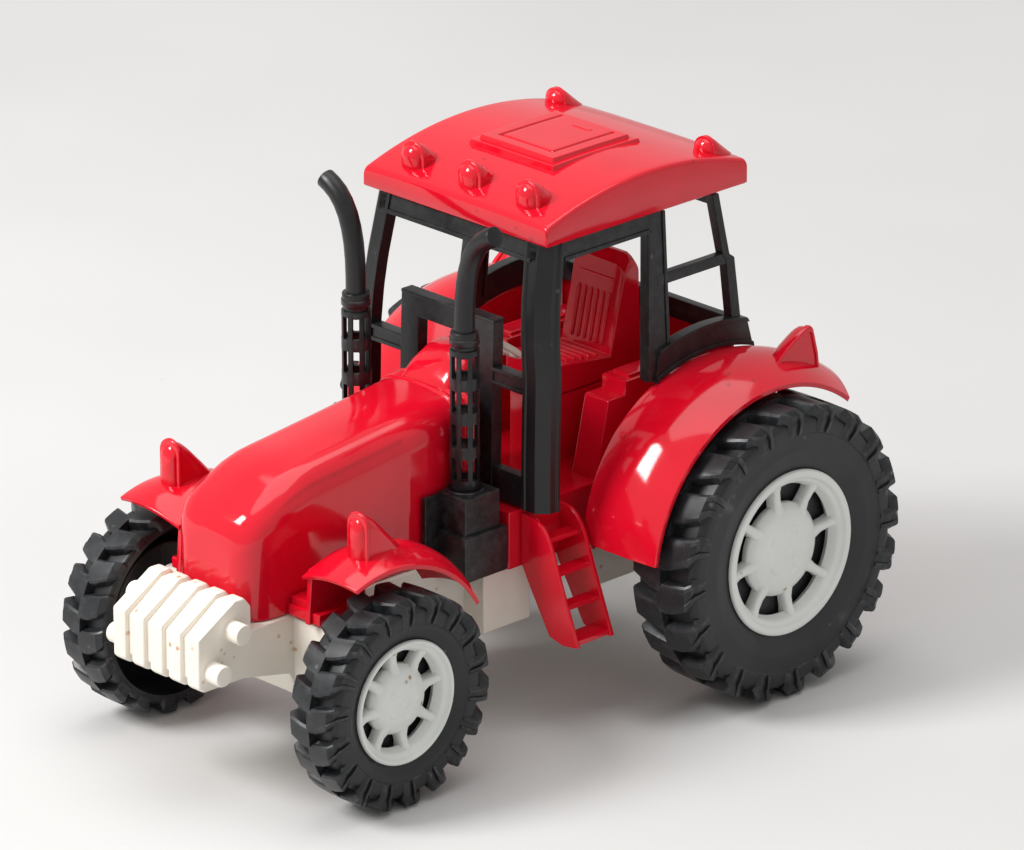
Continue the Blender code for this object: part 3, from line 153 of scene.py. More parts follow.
def block(low, high, radius=0.3 * MM):
    """A box between two corners in any order, with rounded edges."""
    (x0, y0, z0), (x1, y1, z1) = low, high
    ring = [(x0, y0), (x1, y0), (x1, y1), (x0, y1)]
    return loft([[(x, y, z) for x, y in ring] for z in (z0, z1)], radius)


def prism_x(outline, x0, x1, radius=0.3 * MM, over=32):
    """An outline of (y, z) points, drawn out from x0 to x1."""
    return loft([[(x, y, z) for y, z in outline] for x in (x0, x1)], radius, 2, over)


def prism_y(outline, y0, y1, radius=0.3 * MM):
    """An outline of (x, z) points, drawn out from y0 to y1."""
    return loft([[(x, y, z) for x, z in outline] for y in (y0, y1)], radius)


def tube(route, radii, sides=28):
    """Round rings along a route, closed at both ends."""
    rings = []
    across = None
    for i, place in enumerate(route):
        here = Vector(place)
        ahead = (Vector(route[min(i + 1, len(route) - 1)]) - Vector(route[max(i - 1, 0)])).normalized()
        across = ahead.orthogonal() if across is None else across - ahead * across.dot(ahead)
        across.normalize()
        other = ahead.cross(across)
        turns = [2 * math.pi * k / sides for k in range(sides)]
        rings.append([here + (across * math.cos(a) + other * math.sin(a)) * radii[i] for a in turns])
    return loft(rings)


def rod(start, end, radius, edge=0.25 * MM, sides=28):
    """A straight round bar with eased ends."""
    start, end = Vector(start), Vector(end)
    ahead = (end - start).normalized()
    eases = [(0.0, radius - edge), (0.3 * edge, radius - 0.3 * edge), (edge, radius)]
    route = [start + ahead * d for d, _ in eases] + [end - ahead * d for d, _ in reversed(eases)]
    return tube(route, [r for _, r in eases] + [r for _, r in reversed(eases)], sides)


def turned(profile, x, y, z, side, segments, closed=False):
    """A profile of (distance outwards from x, radius), turned round X."""
    rings = []
    for along, radius in profile:
        turns = [2 * math.pi * i / segments for i in range(segments)]
        radius = max(radius, 0.01 * MM)
        rings.append([(side * (x + along), y + radius * math.cos(a), z + radius * math.sin(a))
                      for a in turns])
    return loft(rings, around=closed)


def softened(profile, radius, steps=3):
    """A profile with its inner corners turned into short curves."""
    made = [profile[0]]
    for before, corner, after in zip(profile, profile[1:], profile[2:]):
        here, back, ahead = Vector(corner), Vector(before), Vector(after)
        reach = min(radius, (back - here).length * 0.45, (ahead - here).length * 0.45)
        start = here + (back - here).normalized() * reach
        end = here + (ahead - here).normalized() * reach
        for k in range(steps + 1):
            t = k / steps
            made.append(tuple(start.lerp(here, t).lerp(here.lerp(end, t), t)))
    return made + [profile[-1]]


def mesh_object(name, shells):
    """One mesh from several closed skins, which are used up."""
    whole = bmesh.new()
    for shell in shells:
        part = bpy.data.meshes.new("part")
        shell.to_mesh(part)
        shell.free()
        whole.from_mesh(part)
        bpy.data.meshes.remove(part)
    mesh = bpy.data.meshes.new(name)
    whole.to_mesh(mesh)
    whole.free()
    obj = bpy.data.objects.new(name, mesh)
    bpy.context.scene.collection.objects.link(obj)
    return obj


def carve(obj, shells):
    """Cuts the skins out of the object with exact Booleans."""
    for shell in shells:
        cutter = mesh_object("cutter", [shell])
        modifier = obj.modifiers.new("cut", "BOOLEAN")
        modifier.operation, modifier.solver, modifier.object = "DIFFERENCE", "EXACT", cutter
        bpy.context.view_layer.update()
        graph = bpy.context.evaluated_depsgraph_get()
        mesh = bpy.data.meshes.new_from_object(obj.evaluated_get(graph))
        obj.modifiers.clear()
        obj.data = mesh
        bpy.data.objects.remove(cutter, do_unlink=True)

def piece(name, shells, node, body, slot, sharp_over=38, flat_weight=True):
    """A finished piece that stands for a CAD node and moves with its body."""
    obj = mesh_object(name, shells)
    obj.data.materials.append(PLASTICS[slot])
    obj.data.shade_smooth()
    obj.data.set_sharp_from_angle(angle=math.radians(sharp_over))
    if flat_weight:
        obj.modifiers.new("flat faces", "WEIGHTED_NORMAL").keep_sharp = True
    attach(obj, body)
    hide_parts(node)


def side_name(side):
    return "left" if side > 0 else "right"


# Materials


class Nodes:
    """A material's node tree, with short calls to add to it."""

    def __init__(self, name):
        self.material = bpy.data.materials.new(name)
        self.material.use_nodes = True
        self.tree = self.material.node_tree
        self.shader = self.tree.nodes["Principled BSDF"]
        self.place = self.add("ShaderNodeTexCoord").outputs["Object"]

    def add(self, kind, **settings):
        node = self.tree.nodes.new(kind)
        for key, value in settings.items():
            setattr(node, key, value)
        return node

    def link(self, start, end):
        self.tree.links.new(start, end)

    def noise(self, scale, detail=3.0, rough=0.55, stretch=None):
        node = self.add("ShaderNodeTexNoise")
        node.inputs["Scale"].default_value = scale
        node.inputs["Detail"].default_value = detail
        node.inputs["Roughness"].default_value = rough
        place = self.place
        if stretch:
            mapping = self.add("ShaderNodeMapping")
            mapping.inputs["Scale"].default_value = stretch
            self.link(place, mapping.inputs["Vector"])
            place = mapping.outputs["Vector"]
        self.link(place, node.inputs["Vector"])
        return node.outputs["Fac"]

    def span(self, value, low, high, out_low=0.0, out_high=1.0):
        node = self.add("ShaderNodeMapRange")
        for key, number in (("From Min", low), ("From Max", high),
                            ("To Min", out_low), ("To Max", out_high)):
            node.inputs[key].default_value = number
        self.link(value, node.inputs["Value"])
        return node.outputs["Result"]

    def times(self, a, b):
        node = self.add("ShaderNodeMath", operation="MULTIPLY")
        self.link(a, node.inputs[0])
        if isinstance(b, float):
            node.inputs[1].default_value = b
        else:
            self.link(b, node.inputs[1])
        return node.outputs[0]

    def blend(self, share, first, second):
        """Two colours mixed by a share. Either may be a node's output."""
        node = self.add("ShaderNodeMix", data_type="RGBA")
        self.link(share, node.inputs["Factor"])
        for socket, value in ((node.inputs[6], first), (node.inputs[7], second)):
            if isinstance(value, tuple):
                socket.default_value = (*value, 1.0)
            else:
                self.link(value, socket)
        return node.outputs[2]

    def specks(self, scale, size, share):
        """A sparse scatter of small spots."""
        cells = self.add("ShaderNodeTexVoronoi")
        cells.inputs["Scale"].default_value = scale
        self.link(self.place, cells.inputs["Vector"])
        spot = self.span(cells.outputs["Distance"], size * 0.4, size, 1.0, 0.0)
        pick = self.add("ShaderNodeSeparateColor")
        self.link(cells.outputs["Color"], pick.inputs[0])
        chosen = self.span(pick.outputs[0], 1 - share, 1 - share + 0.01)
        return self.times(spot, chosen)

    def bump(self, height, strength, distance, after=None):
        node = self.add("ShaderNodeBump")
        node.inputs["Strength"].default_value = strength
        node.inputs["Distance"].default_value = distance
        self.link(height, node.inputs["Height"])
        if after:
            self.link(after, node.inputs["Normal"])
        return node.outputs["Normal"]


def plastic(name, colour, deep, roughness, gloss, stain, stain_share, wave, grain, worn=None):
    """Moulded plastic: a mottled colour, uneven gloss, spots, worn edges and a faint texture."""
    made = Nodes(name)
    shader = made.shader
    mottle = made.span(made.noise(70.0, 4.0), 0.3, 0.7)
    base = made.blend(mottle, deep, colour)
    if worn:
        shape = made.add("ShaderNodeNewGeometry")
        edge = made.span(shape.outputs["Pointiness"], 0.52, 0.6)
        scuffs = made.span(made.noise(420.0, 5.0, 0.7), 0.45, 0.7)
        base = made.blend(made.times(edge, scuffs), base, worn)
    base = made.blend(made.specks(430.0, 0.3, stain_share), base, stain)
    cloudy = made.times(made.span(made.noise(160.0, 5.0, 0.65), 0.6, 0.8), 0.35)
    base = made.blend(cloudy, base, tuple(mix(c, s, 0.35) for c, s in zip(colour, stain)))
    made.link(base, shader.inputs["Base Color"])
    low, high = roughness
    smears = made.noise(110.0, 5.0, 0.6, (1.0, 1.0, 0.45))
    made.link(made.span(smears, 0.3, 0.75, low, high), shader.inputs["Roughness"])
    shader.inputs["IOR"].default_value = 1.5
    shader.inputs["Specular IOR Level"].default_value = gloss
    wavy = made.bump(made.noise(90.0, 2.0), 0.25, wave)
    made.link(made.bump(made.noise(1500.0, 3.0), 0.5, grain, wavy), shader.inputs["Normal"])
    return made.material


def wire_steel():
    """Drawn steel: fine lines along the axle and a little tarnish."""
    made = Nodes("drawn_steel")
    lines = made.noise(900.0, 3.0, 0.6, (0.03, 1.0, 1.0))
    tarnish = made.span(made.noise(260.0, 4.0), 0.45, 0.75)
    made.link(made.blend(tarnish, (0.56, 0.56, 0.55), (0.36, 0.33, 0.3)),
              made.shader.inputs["Base Color"])
    made.link(made.span(lines, 0.3, 0.7, 0.22, 0.42), made.shader.inputs["Roughness"])
    made.shader.inputs["Metallic"].default_value = 1.0
    made.link(made.bump(lines, 0.3, 0.02 * MM), made.shader.inputs["Normal"])
    return made.material


PLASTICS = {
    "glossy_red": plastic("moulded_red", (0.70, 0.005, 0.022), (0.63, 0.003, 0.016),
                          (0.07, 0.15), 0.55, wave=0.02 * MM, grain=0.0015 * MM,
                          stain=(0.35, 0.01, 0.01), stain_share=0.04),
    "ivory": plastic("moulded_ivory", (0.86, 0.82, 0.74), (0.82, 0.76, 0.66), (0.34, 0.5),
                     0.5, stain=(0.55, 0.33, 0.18), stain_share=0.1, wave=0.03 * MM,
                     grain=0.004 * MM),
    "satin_black": plastic("moulded_black", (0.011, 0.011, 0.012), (0.006, 0.006, 0.007),
                           (0.26, 0.42), 0.42, worn=(0.045, 0.046, 0.048), wave=0.04 * MM,
                           grain=0.006 * MM, stain=(0.12, 0.11, 0.1), stain_share=0.02),
    "tyre_black": plastic("moulded_tyre", (0.014, 0.015, 0.017), (0.008, 0.009, 0.01),
                          (0.3, 0.5), 0.45, worn=(0.06, 0.065, 0.07), wave=0.03 * MM,
                          grain=0.01 * MM, stain=(0.1, 0.1, 0.1), stain_share=0.03),
    "pale_grey": plastic("moulded_grey", (0.75, 0.76, 0.73), (0.68, 0.70, 0.67), (0.28, 0.44),
                         0.5, stain=(0.36, 0.2, 0.1), stain_share=0.07, wave=0.03 * MM,
                         grain=0.004 * MM),
    "steel": wire_steel(),
}


# Wheels

LUG_HIGH = 2.2 * MM
WEB_BORE = 3.1 * MM  # hole in the tyre's disc, round the rim's sleeve
TYRE_SETS = {
    "front": {"centre": FRONT, "lugs": 18, "rim": 13.6 * MM, "width": 11.6 * MM},
    "rear": {"centre": REAR, "lugs": 20, "rim": 18.5 * MM, "width": 16.2 * MM},
}


def shoulder_path(width, carcass, wrap):
    """The tread's outline from its middle over the shoulder: (along, radius, lean)."""
    round_off = 1.3 * MM
    path = [(0.47 * width, carcass, 90.0), (0.7 * width, carcass, 90.0)]
    path += [(width - round_off + round_off * math.cos(math.radians(a)),
              carcass - round_off + round_off * math.sin(math.radians(a)), a)
             for a in (78, 52, 26, 8)]
    path += [(width - 0.1 * MM, carcass - 0.55 * wrap, 4.0), (width - 0.25 * MM, carcass - wrap, 2.0)]
    return path


def lug(side, inner_x, centre, radius, width, carcass, at, pitch, outer):
    """One tread lug, from the middle of the tread over its shoulder, with a slot in its end."""
    wrap = 3.9 * MM if outer else 1.6 * MM
    path = shoulder_path(width, carcass, wrap)
    rings = []
    for i, (along, r, lean) in enumerate(path):
        share = i / (len(path) - 1)
        on_side = lean < 60
        high = mix(LUG_HIGH, 1.5 * MM, ease((90 - lean) / 60)) if lean > 30 else 0.68 * MM
        high = min(high, radius - 0.01 * MM - r) if lean > 60 else high
        if i == len(path) - 1:
            high = 0.45 * MM
        skew = pitch * (0.34 - 0.34 * ease(min(share * 1.9, 1.0)))
        foot = pitch * mix(0.42, 0.26, ease(share * 1.5))
        top = pitch * mix(0.33, 0.18, ease(share * 1.5))
        dip = 0.55 * MM if on_side and outer else 0.0
        section = [(-foot, -0.6 * MM), (-foot, 0.0), (-top * 1.06, 0.82 * high), (-top * 0.86, high),
                   (-top * 0.5, high - 0.02 * MM), (-top * 0.42, high - dip),
                   (top * 0.42, high - dip), (top * 0.5, high - 0.02 * MM),
                   (top * 0.86, high), (top * 1.06, 0.82 * high), (foot, 0.0), (foot, -0.6 * MM)]
        out_a, out_r = math.cos(math.radians(lean)), math.sin(math.radians(lean))
        ring = []
        for turn, up in section:
            a = at + skew + turn
            rr = r + up * out_r
            x = along + up * out_a
            if not outer:
                x = width - x
            ring.append((side * (inner_x + x), centre.y + rr * math.cos(a),
                         centre.z + rr * math.sin(a)))
        rings.append(ring)
    return loft(rings)


def tyre(place, side):
    """A lugged tyre, open on its inner side, moulded in one piece."""
    facts = TYRE_SETS[place]
    centre, lugs, width = facts["centre"], facts["lugs"], facts["width"]
    name = f"{place}_tyre_{side_name(side)}"
    inner_x = x_span(name)[0]
    radius = centre.z
    carcass = radius - LUG_HIGH
    bore = facts["rim"] - 0.75 * MM
    wall = 1.7 * MM
    web = width - 6.2 * MM  # the plain disc behind the rim
    profile = [
        (0.0, carcass - 2.2 * MM), (0.0, carcass - 0.5 * MM), (0.6 * MM, carcass - 0.1 * MM),
        (0.3 * width, carcass), (0.7 * width, carcass), (width - 1.3 * MM, carcass - 0.1 * MM),
        (width - 0.1 * MM, carcass - 1.3 * MM), (width - 0.1 * MM, carcass - 3.9 * MM),
        (width - 0.45 * MM, carcass - 4.2 * MM), (width - 0.5 * MM, mix(bore, carcass, 0.4)),
        (width - 1.3 * MM, bore + 1.6 * MM), (width - 1.9 * MM, bore), (web, bore),
        (web, WEB_BORE), (web - MM, WEB_BORE), (web - MM, bore + 1.2 * MM),
        (width - 3.6 * MM, bore + 1.4 * MM), (width - wall, carcass - 2.2 * MM),
    ]
    profile = softened(profile, 0.5 * MM, 3)
    shells = [turned(profile, inner_x, centre.y, centre.z, side, 120, closed=True)]
    pitch = 2 * math.pi / lugs
    for i in range(lugs):
        at = i * pitch + math.pi / 2
        for turn, outer in ((at, True), (at + 0.5 * pitch, False)):
            shells.append(lug(side, inner_x, centre, radius, width, carcass, turn, pitch, outer))
    piece(f"lugged_{name}", shells, name, f"{place}_wheels", "tyre_black", 34, False)


def rim(place, side):
    """A dished rim: stepped lip, eight windows with rounded spokes between, and a domed hub."""
    facts = TYRE_SETS[place]
    centre, radius, width = facts["centre"], facts["rim"], facts["width"]
    name = f"{place}_rim_{side_name(side)}"
    inner_x, face_x = x_span(name)
    sleeve = inner_x - face_x
    wall, hub, deep = 0.84 * radius, 0.52 * radius, -3.6 * MM
    outer = softened([
        (deep + 0.1 * MM, wall - 0.9 * MM), (deep + 0.9 * MM, wall - 0.5 * MM), (-1.5 * MM, wall),
        (-1.1 * MM, wall + 0.5 * MM), (-0.9 * MM, wall + 0.9 * MM), (-0.05 * MM, wall + 1.3 * MM),
        (0.0, radius - 0.35 * MM), (-0.45 * MM, radius), (-1.1 * MM, radius),
        (-1.15 * MM, radius - 1.1 * MM),
        (deep - 1.2 * MM, radius - 1.1 * MM), (deep - 1.2 * MM, wall - 0.3 * MM),
    ], 0.25 * MM, 2)
    inner = softened([
        (-0.7 * MM, 0.0), (-0.75 * MM, 0.35 * hub), (-1.0 * MM, 0.6 * hub), (-1.45 * MM, 0.8 * hub),
        (-2.1 * MM, 0.95 * hub), (-2.9 * MM, 1.04 * hub), (deep, 1.1 * hub),
        (deep - 1.6 * MM, 1.08 * hub), (deep - 1.6 * MM, 2.8 * MM), (sleeve, 2.8 * MM),
        (sleeve, 1.4 * MM), (deep - 0.3 * MM, 1.4 * MM), (deep - 0.3 * MM, 0.0),
    ], 0.5 * MM, 3)
    shells = [turned(outer, face_x, centre.y, centre.z, side, 96, closed=True),
              turned(inner, face_x, centre.y, centre.z, side, 72)]
    stations = (  # along a spoke: distance out, half width in mm, back and crest
        (hub * 0.84, 1.7, deep + 0.5 * MM, -1.75 * MM), (mix(hub, wall, 0.1), 1.3, deep, -2.2 * MM),
        (mix(hub, wall, 0.35), 1.05, deep, -2.45 * MM), (mix(hub, wall, 0.7), 0.95, deep, -2.2 * MM),
        (wall + 0.3 * MM, 1.3, deep, -1.6 * MM))
    for k in range(8):
        at = 2 * math.pi * k / 8 + 0.16
        rings = []
        for r, half, back, top in stations:
            slope = [(half, back - 1.5 * MM), (half, mix(back, top, 0.55)),
                     (0.72 * half, mix(back, top, 0.86)), (0.3 * half, top)]
            ring = []
            for turn, x in [*((-t, x) for t, x in slope), *reversed(slope)]:
                a = at + turn * MM / r
                ring.append((side * (face_x + x), centre.y + r * math.cos(a), centre.z + r * math.sin(a)))
            rings.append(ring)
        shells.append(loft(rings))
    studs = [(2 * math.pi * k / 5, 0.51 * hub, 0.13 * hub, -1.1 * MM) for k in range(5)]
    for a, out, size, base in [*studs, (0.0, 0.0, 0.2 * hub, -0.85 * MM)]:
        y, z = centre.y + out * math.cos(a), centre.z + out * math.sin(a)
        shells.append(tube([(side * (face_x + base + d * MM), y, z) for d in (-0.3, 0.1, 0.25, 0.32)],
                           [size, size, 0.8 * size, 0.4 * size], 20))
    piece(f"dished_{name}", shells, name, f"{place}_wheels", "pale_grey", 40, False)


# Hood and fenders

HOOD_NOSE_Z = 57.0 * MM
HOOD_REAR_Z = 72.4 * MM
NOSE_CORNER = 5.4 * MM
NOSE_TAPER = 1.4 * MM
NOSE_BROW = 3.2 * MM  # radius over the top edge of the nose


def hood_top(y):
    """Height of the hood's top line: a rounded brow, then a shallow rise to the rear."""
    back = y - HOOD_FRONT
    share = back / (HOOD_REAR - HOOD_FRONT)
    nose = 1 - (1 - min(share / 0.3, 1)) ** 2
    line = HOOD_NOSE_Z + 8.5 * MM * nose + (HOOD_REAR_Z - HOOD_NOSE_Z - 8.5 * MM) * share
    lost = max(NOSE_BROW - back, 0)
    lift = 0.7 * MM * (1 - min(back / (8 * MM), 1))
    return line + lift - NOSE_BROW + math.sqrt(NOSE_BROW ** 2 - lost ** 2)


def hood_half(y):
    """Half the hood's width: it narrows to the nose, whose upright corners are round."""
    back = y - HOOD_FRONT
    lost = max(NOSE_CORNER - back, 0)
    taper = NOSE_TAPER * max(1 - back / (12 * MM), 0) ** 1.5
    return HOOD_HALF - taper - NOSE_CORNER + math.sqrt(NOSE_CORNER ** 2 - lost ** 2)


def arch(y, half, top, low, shoulder, proud=0.0, sunk=0.0):
    """The hood's outline at y, from its left foot over the top to its right foot.

    proud swells the whole outline, and sunk sets the side panel in.
    """
    half, top = half + proud, top + proud
    crown = 0.5 * MM
    right = []
    for angle in (0, 7, 14, 21, 28, 31, 33, 38, 45, 52, 59, 66, 73, 79, 84):
        reach = shoulder - (sunk if angle < 32 else 0)
        right += arc((half - shoulder, top - crown - shoulder), reach, angle, angle, 1)[:1]
    right += [(x * (half - shoulder), top - crown * x * x) for x in (0.66, 0.33)]
    points = [(half - sunk, low), (half - sunk, mix(low, top - shoulder, 0.5)), *right, (0.0, top)]
    return [(x, y, z) for x, z in points] + [(-x, y, z) for x, z in reversed(points[:-1])]


def hood():
    length = HOOD_REAR - HOOD_FRONT
    backs = [NOSE_CORNER * (1 - math.cos(math.radians(a))) for a in range(0, 90, 9)]
    backs += [6.2 * MM, 8 * MM, 10 * MM, 13 * MM, 17 * MM, 21 * MM]
    rib_zone = length - 7.0 * MM
    panel_rear = HOOD_REAR - 20.6 * MM - HOOD_FRONT
    backs += [mix(21 * MM, rib_zone, k / 9) for k in range(1, 10)]
    backs += [panel_rear - 0.4 * MM, panel_rear]
    backs.sort()
    backs += [rib_zone + 7.0 * MM * k / 40 for k in range(1, 41)]
    rings = []
    for back in backs:
        y = HOOD_FRONT + back
        ribs = sum(max(1 - ((length - back - c * MM) / (0.62 * MM)) ** 2, 0) for c in (1.0, 2.9, 4.8))
        shoulder = between(((0, 4.4), (0.05, 5.6), (0.15, 6.9), (0.34, 7.2), (0.6, 7.0), (1.0, 6.2)),
                           back / length)[0] * MM
        shoulder = min(shoulder, hood_half(y) - 0.5 * MM)
        sunk = 0.24 * MM * ease((back - 8 * MM) / (6 * MM)) if back < panel_rear - 0.2 * MM else 0.0
        rings.append(arch(y, hood_half(y), hood_top(y), DECK + GAP, shoulder,
                          0.34 * MM * min(ribs, 1), sunk))
    shell = loft(rings, 0.18 * MM, 2, 50)
    high = HOOD_HIGH.z
    stations = (  # of the cowl under the windshield: y, half width in mm, top
        (HOOD_REAR - 6 * MM, 8.0, HOOD_REAR_Z - 2.0 * MM), (HOOD_REAR - 0.5 * MM, 7.6, high - 2.6 * MM),
        (SHIELD + 1 * MM, 7.6, high - 0.5 * MM), (SHIELD + 4 * MM, 7.6, high),
        (SHIELD + 7 * MM, 7.5, high - 0.9 * MM), (SHIELD + 8.4 * MM, 6.9, high - 2.0 * MM),
        (SHIELD + 9 * MM, 6.0, high - 3.6 * MM))
    cowl = loft([arch(y, half * MM, top, FLOOR + 0.5 * MM, 3.6 * MM) for y, half, top in stations],
                0.2 * MM, 2, 50)
    piece("hood_moulding", [shell, cowl], "hood", "tractor", "glossy_red", 50)


def fender_skin(side, span, centre, radius, stops, wall, columns=26, rows=56):
    """A curved sheet swept round the wheel, its edges above a radius by stops of
    (angle, inner edge, crown)."""
    rings = []
    for i in range(rows + 1):
        angle = mix(stops[0][0], stops[-1][0], i / rows)
        edge, crown = between(stops, angle)
        ahead, up = math.cos(math.radians(angle)), math.sin(math.radians(angle))
        surface = []
        for k in range(columns + 1):
            share = k / columns
            rise = edge * (1 - share) + crown * 4 * share * (1 - share)
            surface.append((mix(span[0], span[1], share), radius + rise))
        ring = []
        for inset, points in ((0, surface), (wall, reversed(surface))):
            for x, r in points:
                ring.append((side * x, centre.y + (r - inset) * ahead, centre.z + (r - inset) * up))
        rings.append(ring)
    return loft(rings, 0.22 * MM, 2, 60)


def arched(x, y, z, half, high):
    """A round-topped upright outline at y, its foot a little below z."""
    drop, steps = 0.9 * MM, 18
    crown = min(high, half)
    points = []
    for k in range(steps + 1):
        a = math.pi * k / steps
        points.append((x + half * math.cos(a), y, z + high - crown + crown * math.sin(a)))
    return [(x + half, y, z - drop), *points, (x - half, y, z - drop)]


LAMP_TAIL = ((0.02, 0.96, 0.95), (0.1, 1.0, 0.95), (0.2, 1.02, 0.9), (0.32, 1.02, 0.79), (0.45, 1.0, 0.64),
             (0.6, 0.95, 0.47), (0.74, 0.85, 0.3), (0.88, 0.68, 0.14), (1.0, 0.42, 0.0))


def bullet(x, y, z, half, high, long, lip=0.35 * MM):
    """A lamp: a bulging lens, a thin arched lip round it and a body that fades away behind."""
    middle_z = z + 0.45 * high
    lens = []
    for a in (6, 18, 32, 46, 60, 75, 90):
        share, out = math.sin(math.radians(a)), math.cos(math.radians(a))
        ring = arched(x, y - 0.62 * half * out, z, 0.86 * half, 0.93 * high)
        lens.append([(mix(x, px, share), py, mix(middle_z, pz, share)) for px, py, pz in ring])
    lip_rings = [arched(x, y + d * MM, z, half + p * lip, high + p * lip)
                 for d, p in ((-0.35, 0.0), (-0.2, 0.8), (0.1, 1.0), (0.5, 1.0), (0.75, 0.3))]
    body = [arched(x, y + share * long, z, half * wide, high * tall) for share, wide, tall in LAMP_TAIL]
    return [loft(lens), loft(lip_rings), loft(body)]


FENDER_STOPS = {
    "front": ((30, 1.0 * MM, 2.9 * MM), (48, 0.9 * MM, 3.0 * MM), (60, 0.6 * MM, 2.9 * MM),
              (90, -0.9 * MM, 2.6 * MM), (104, -1.9 * MM, 1.9 * MM), (111, -2.2 * MM, 1.5 * MM)),
    "rear": ((50, 2.2 * MM, 3.8 * MM), (62, 2.3 * MM, 3.2 * MM), (90, 2.3 * MM, 2.6 * MM),
             (132, 2.3 * MM, 2.6 * MM), (160, 1.2 * MM, 1.5 * MM), (172, 0.4 * MM, 0.6 * MM)),
}


def front_fender(side):
    inner, outer = 19.0 * MM, 36.6 * MM
    edge = FRONT.z + 5.1 * MM
    shells = [fender_skin(side, (inner, outer), FRONT, edge, FENDER_STOPS["front"], 1.0 * MM)]
    foot = DECK + GAP
    crown = arc((FRONT.y, FRONT.z), edge - 1.5 * MM, 80, 107, 8)
    shells.append(prism_x([*crown, (FRONT.y - 8.8 * MM, foot), (FRONT.y + 8 * MM, foot)],
                          side * (inner + 0.3 * MM), side * (inner + 1.7 * MM), 0.25 * MM))
    wall = HOOD_HALF + GAP
    shells.append(block((side * wall, FRONT.y - 8.0 * MM, foot + 0.1 * MM),
                        (side * (inner + 4.0 * MM), FRONT.y + 6.2 * MM, foot + 2.6 * MM), 0.35 * MM))
    shells.append(block((side * (wall + 0.1 * MM), FRONT.y - 7.2 * MM, foot + 0.4 * MM),
                        (side * (inner + 1.0 * MM), FRONT.y - 1.0 * MM, foot + 4.2 * MM), 0.35 * MM))
    shells += bullet(side * mix(inner, outer, 0.565), FRONT.y - 2.6 * MM, 51.7 * MM, 2.75 * MM,
                     11.2 * MM, 12.4 * MM)
    name = f"front_fender_{side_name(side)}"
    piece(f"swept_{name}", shells, name, "tractor", "glossy_red", 50)


def fin(side, x, edge):
    """The rear lamp: a fin with a rounded front and a rimmed triangular face outwards."""
    def at(radius, angle):
        a = math.radians(angle)
        return REAR.y + radius * math.cos(a), REAR.z + radius * math.sin(a)

    base, tip = edge + 1.2 * MM, edge + 11.0 * MM
    outline = [at(base, 58)] + [at(base, a) for a in (64, 70, 76, 82)]
    outline += [at(mix(base, tip, h), a) for h, a in (
        (0.3, 78.6), (0.55, 75.6), (0.76, 73.0), (0.9, 71.3), (0.98, 70.2), (1.0, 69.2), (0.96, 68.2),
        (0.86, 67.2), (0.5, 63.4))]
    low = Vector(at(base, 68))

    def skin(stations):
        """Copies of the outline at (mm outwards, share of its size)."""
        return loft([[(side * (x + dx * MM), mix(low.x, y, share), mix(low.y, z, share))
                      for y, z in outline] for dx, share in stations])

    return [
        skin(((-3.4, 0.3), (-3.1, 0.5), (-2.5, 0.7), (-1.6, 0.86), (-0.4, 0.95), (0.8, 0.97), (1.6, 0.97))),
        skin(((1.2, 0.98), (1.35, 1.02), (2.2, 1.02), (2.4, 1.0), (2.45, 0.93), (2.4, 0.9), (2.0, 0.88))),
    ]


def rear_fender(side):
    inner, outer = 28.4 * MM, 49.6 * MM
    edge = REAR.z + 3.2 * MM
    shells = [fender_skin(side, (inner, outer), REAR, edge, FENDER_STOPS["rear"], 1.1 * MM)]
    line = []
    for k in range(19):
        angle = mix(56, 166, k / 18)
        line.append(arc((REAR.y, REAR.z), edge + between(FENDER_STOPS["rear"], angle)[0] - 0.5 * MM,
                        angle, angle, 1)[0])
    foot = [(REAR.y - 34 * MM, 36 * MM), (REAR.y - 27 * MM, FLOOR), (REAR.y + 17 * MM, FLOOR)]
    shells.append(prism_x(line + foot, side * (inner + 0.2 * MM), side * (inner + 1.5 * MM), 0.2 * MM, 50))
    for y in (REAR.y - 20 * MM, REAR.y + 6 * MM):
        shells.append(block((side * (TUB_HALF + GAP), y - 3 * MM, FLOOR + 0.5 * MM),
                            (side * (inner + 0.6 * MM), y + 3 * MM, FLOOR + 3.5 * MM)))
    shells += fin(side, mix(inner, outer, 0.62), edge)
    name = f"rear_fender_{side_name(side)}"
    piece(f"swept_{name}", shells, name, "tractor", "glossy_red", 50)


# Chassis


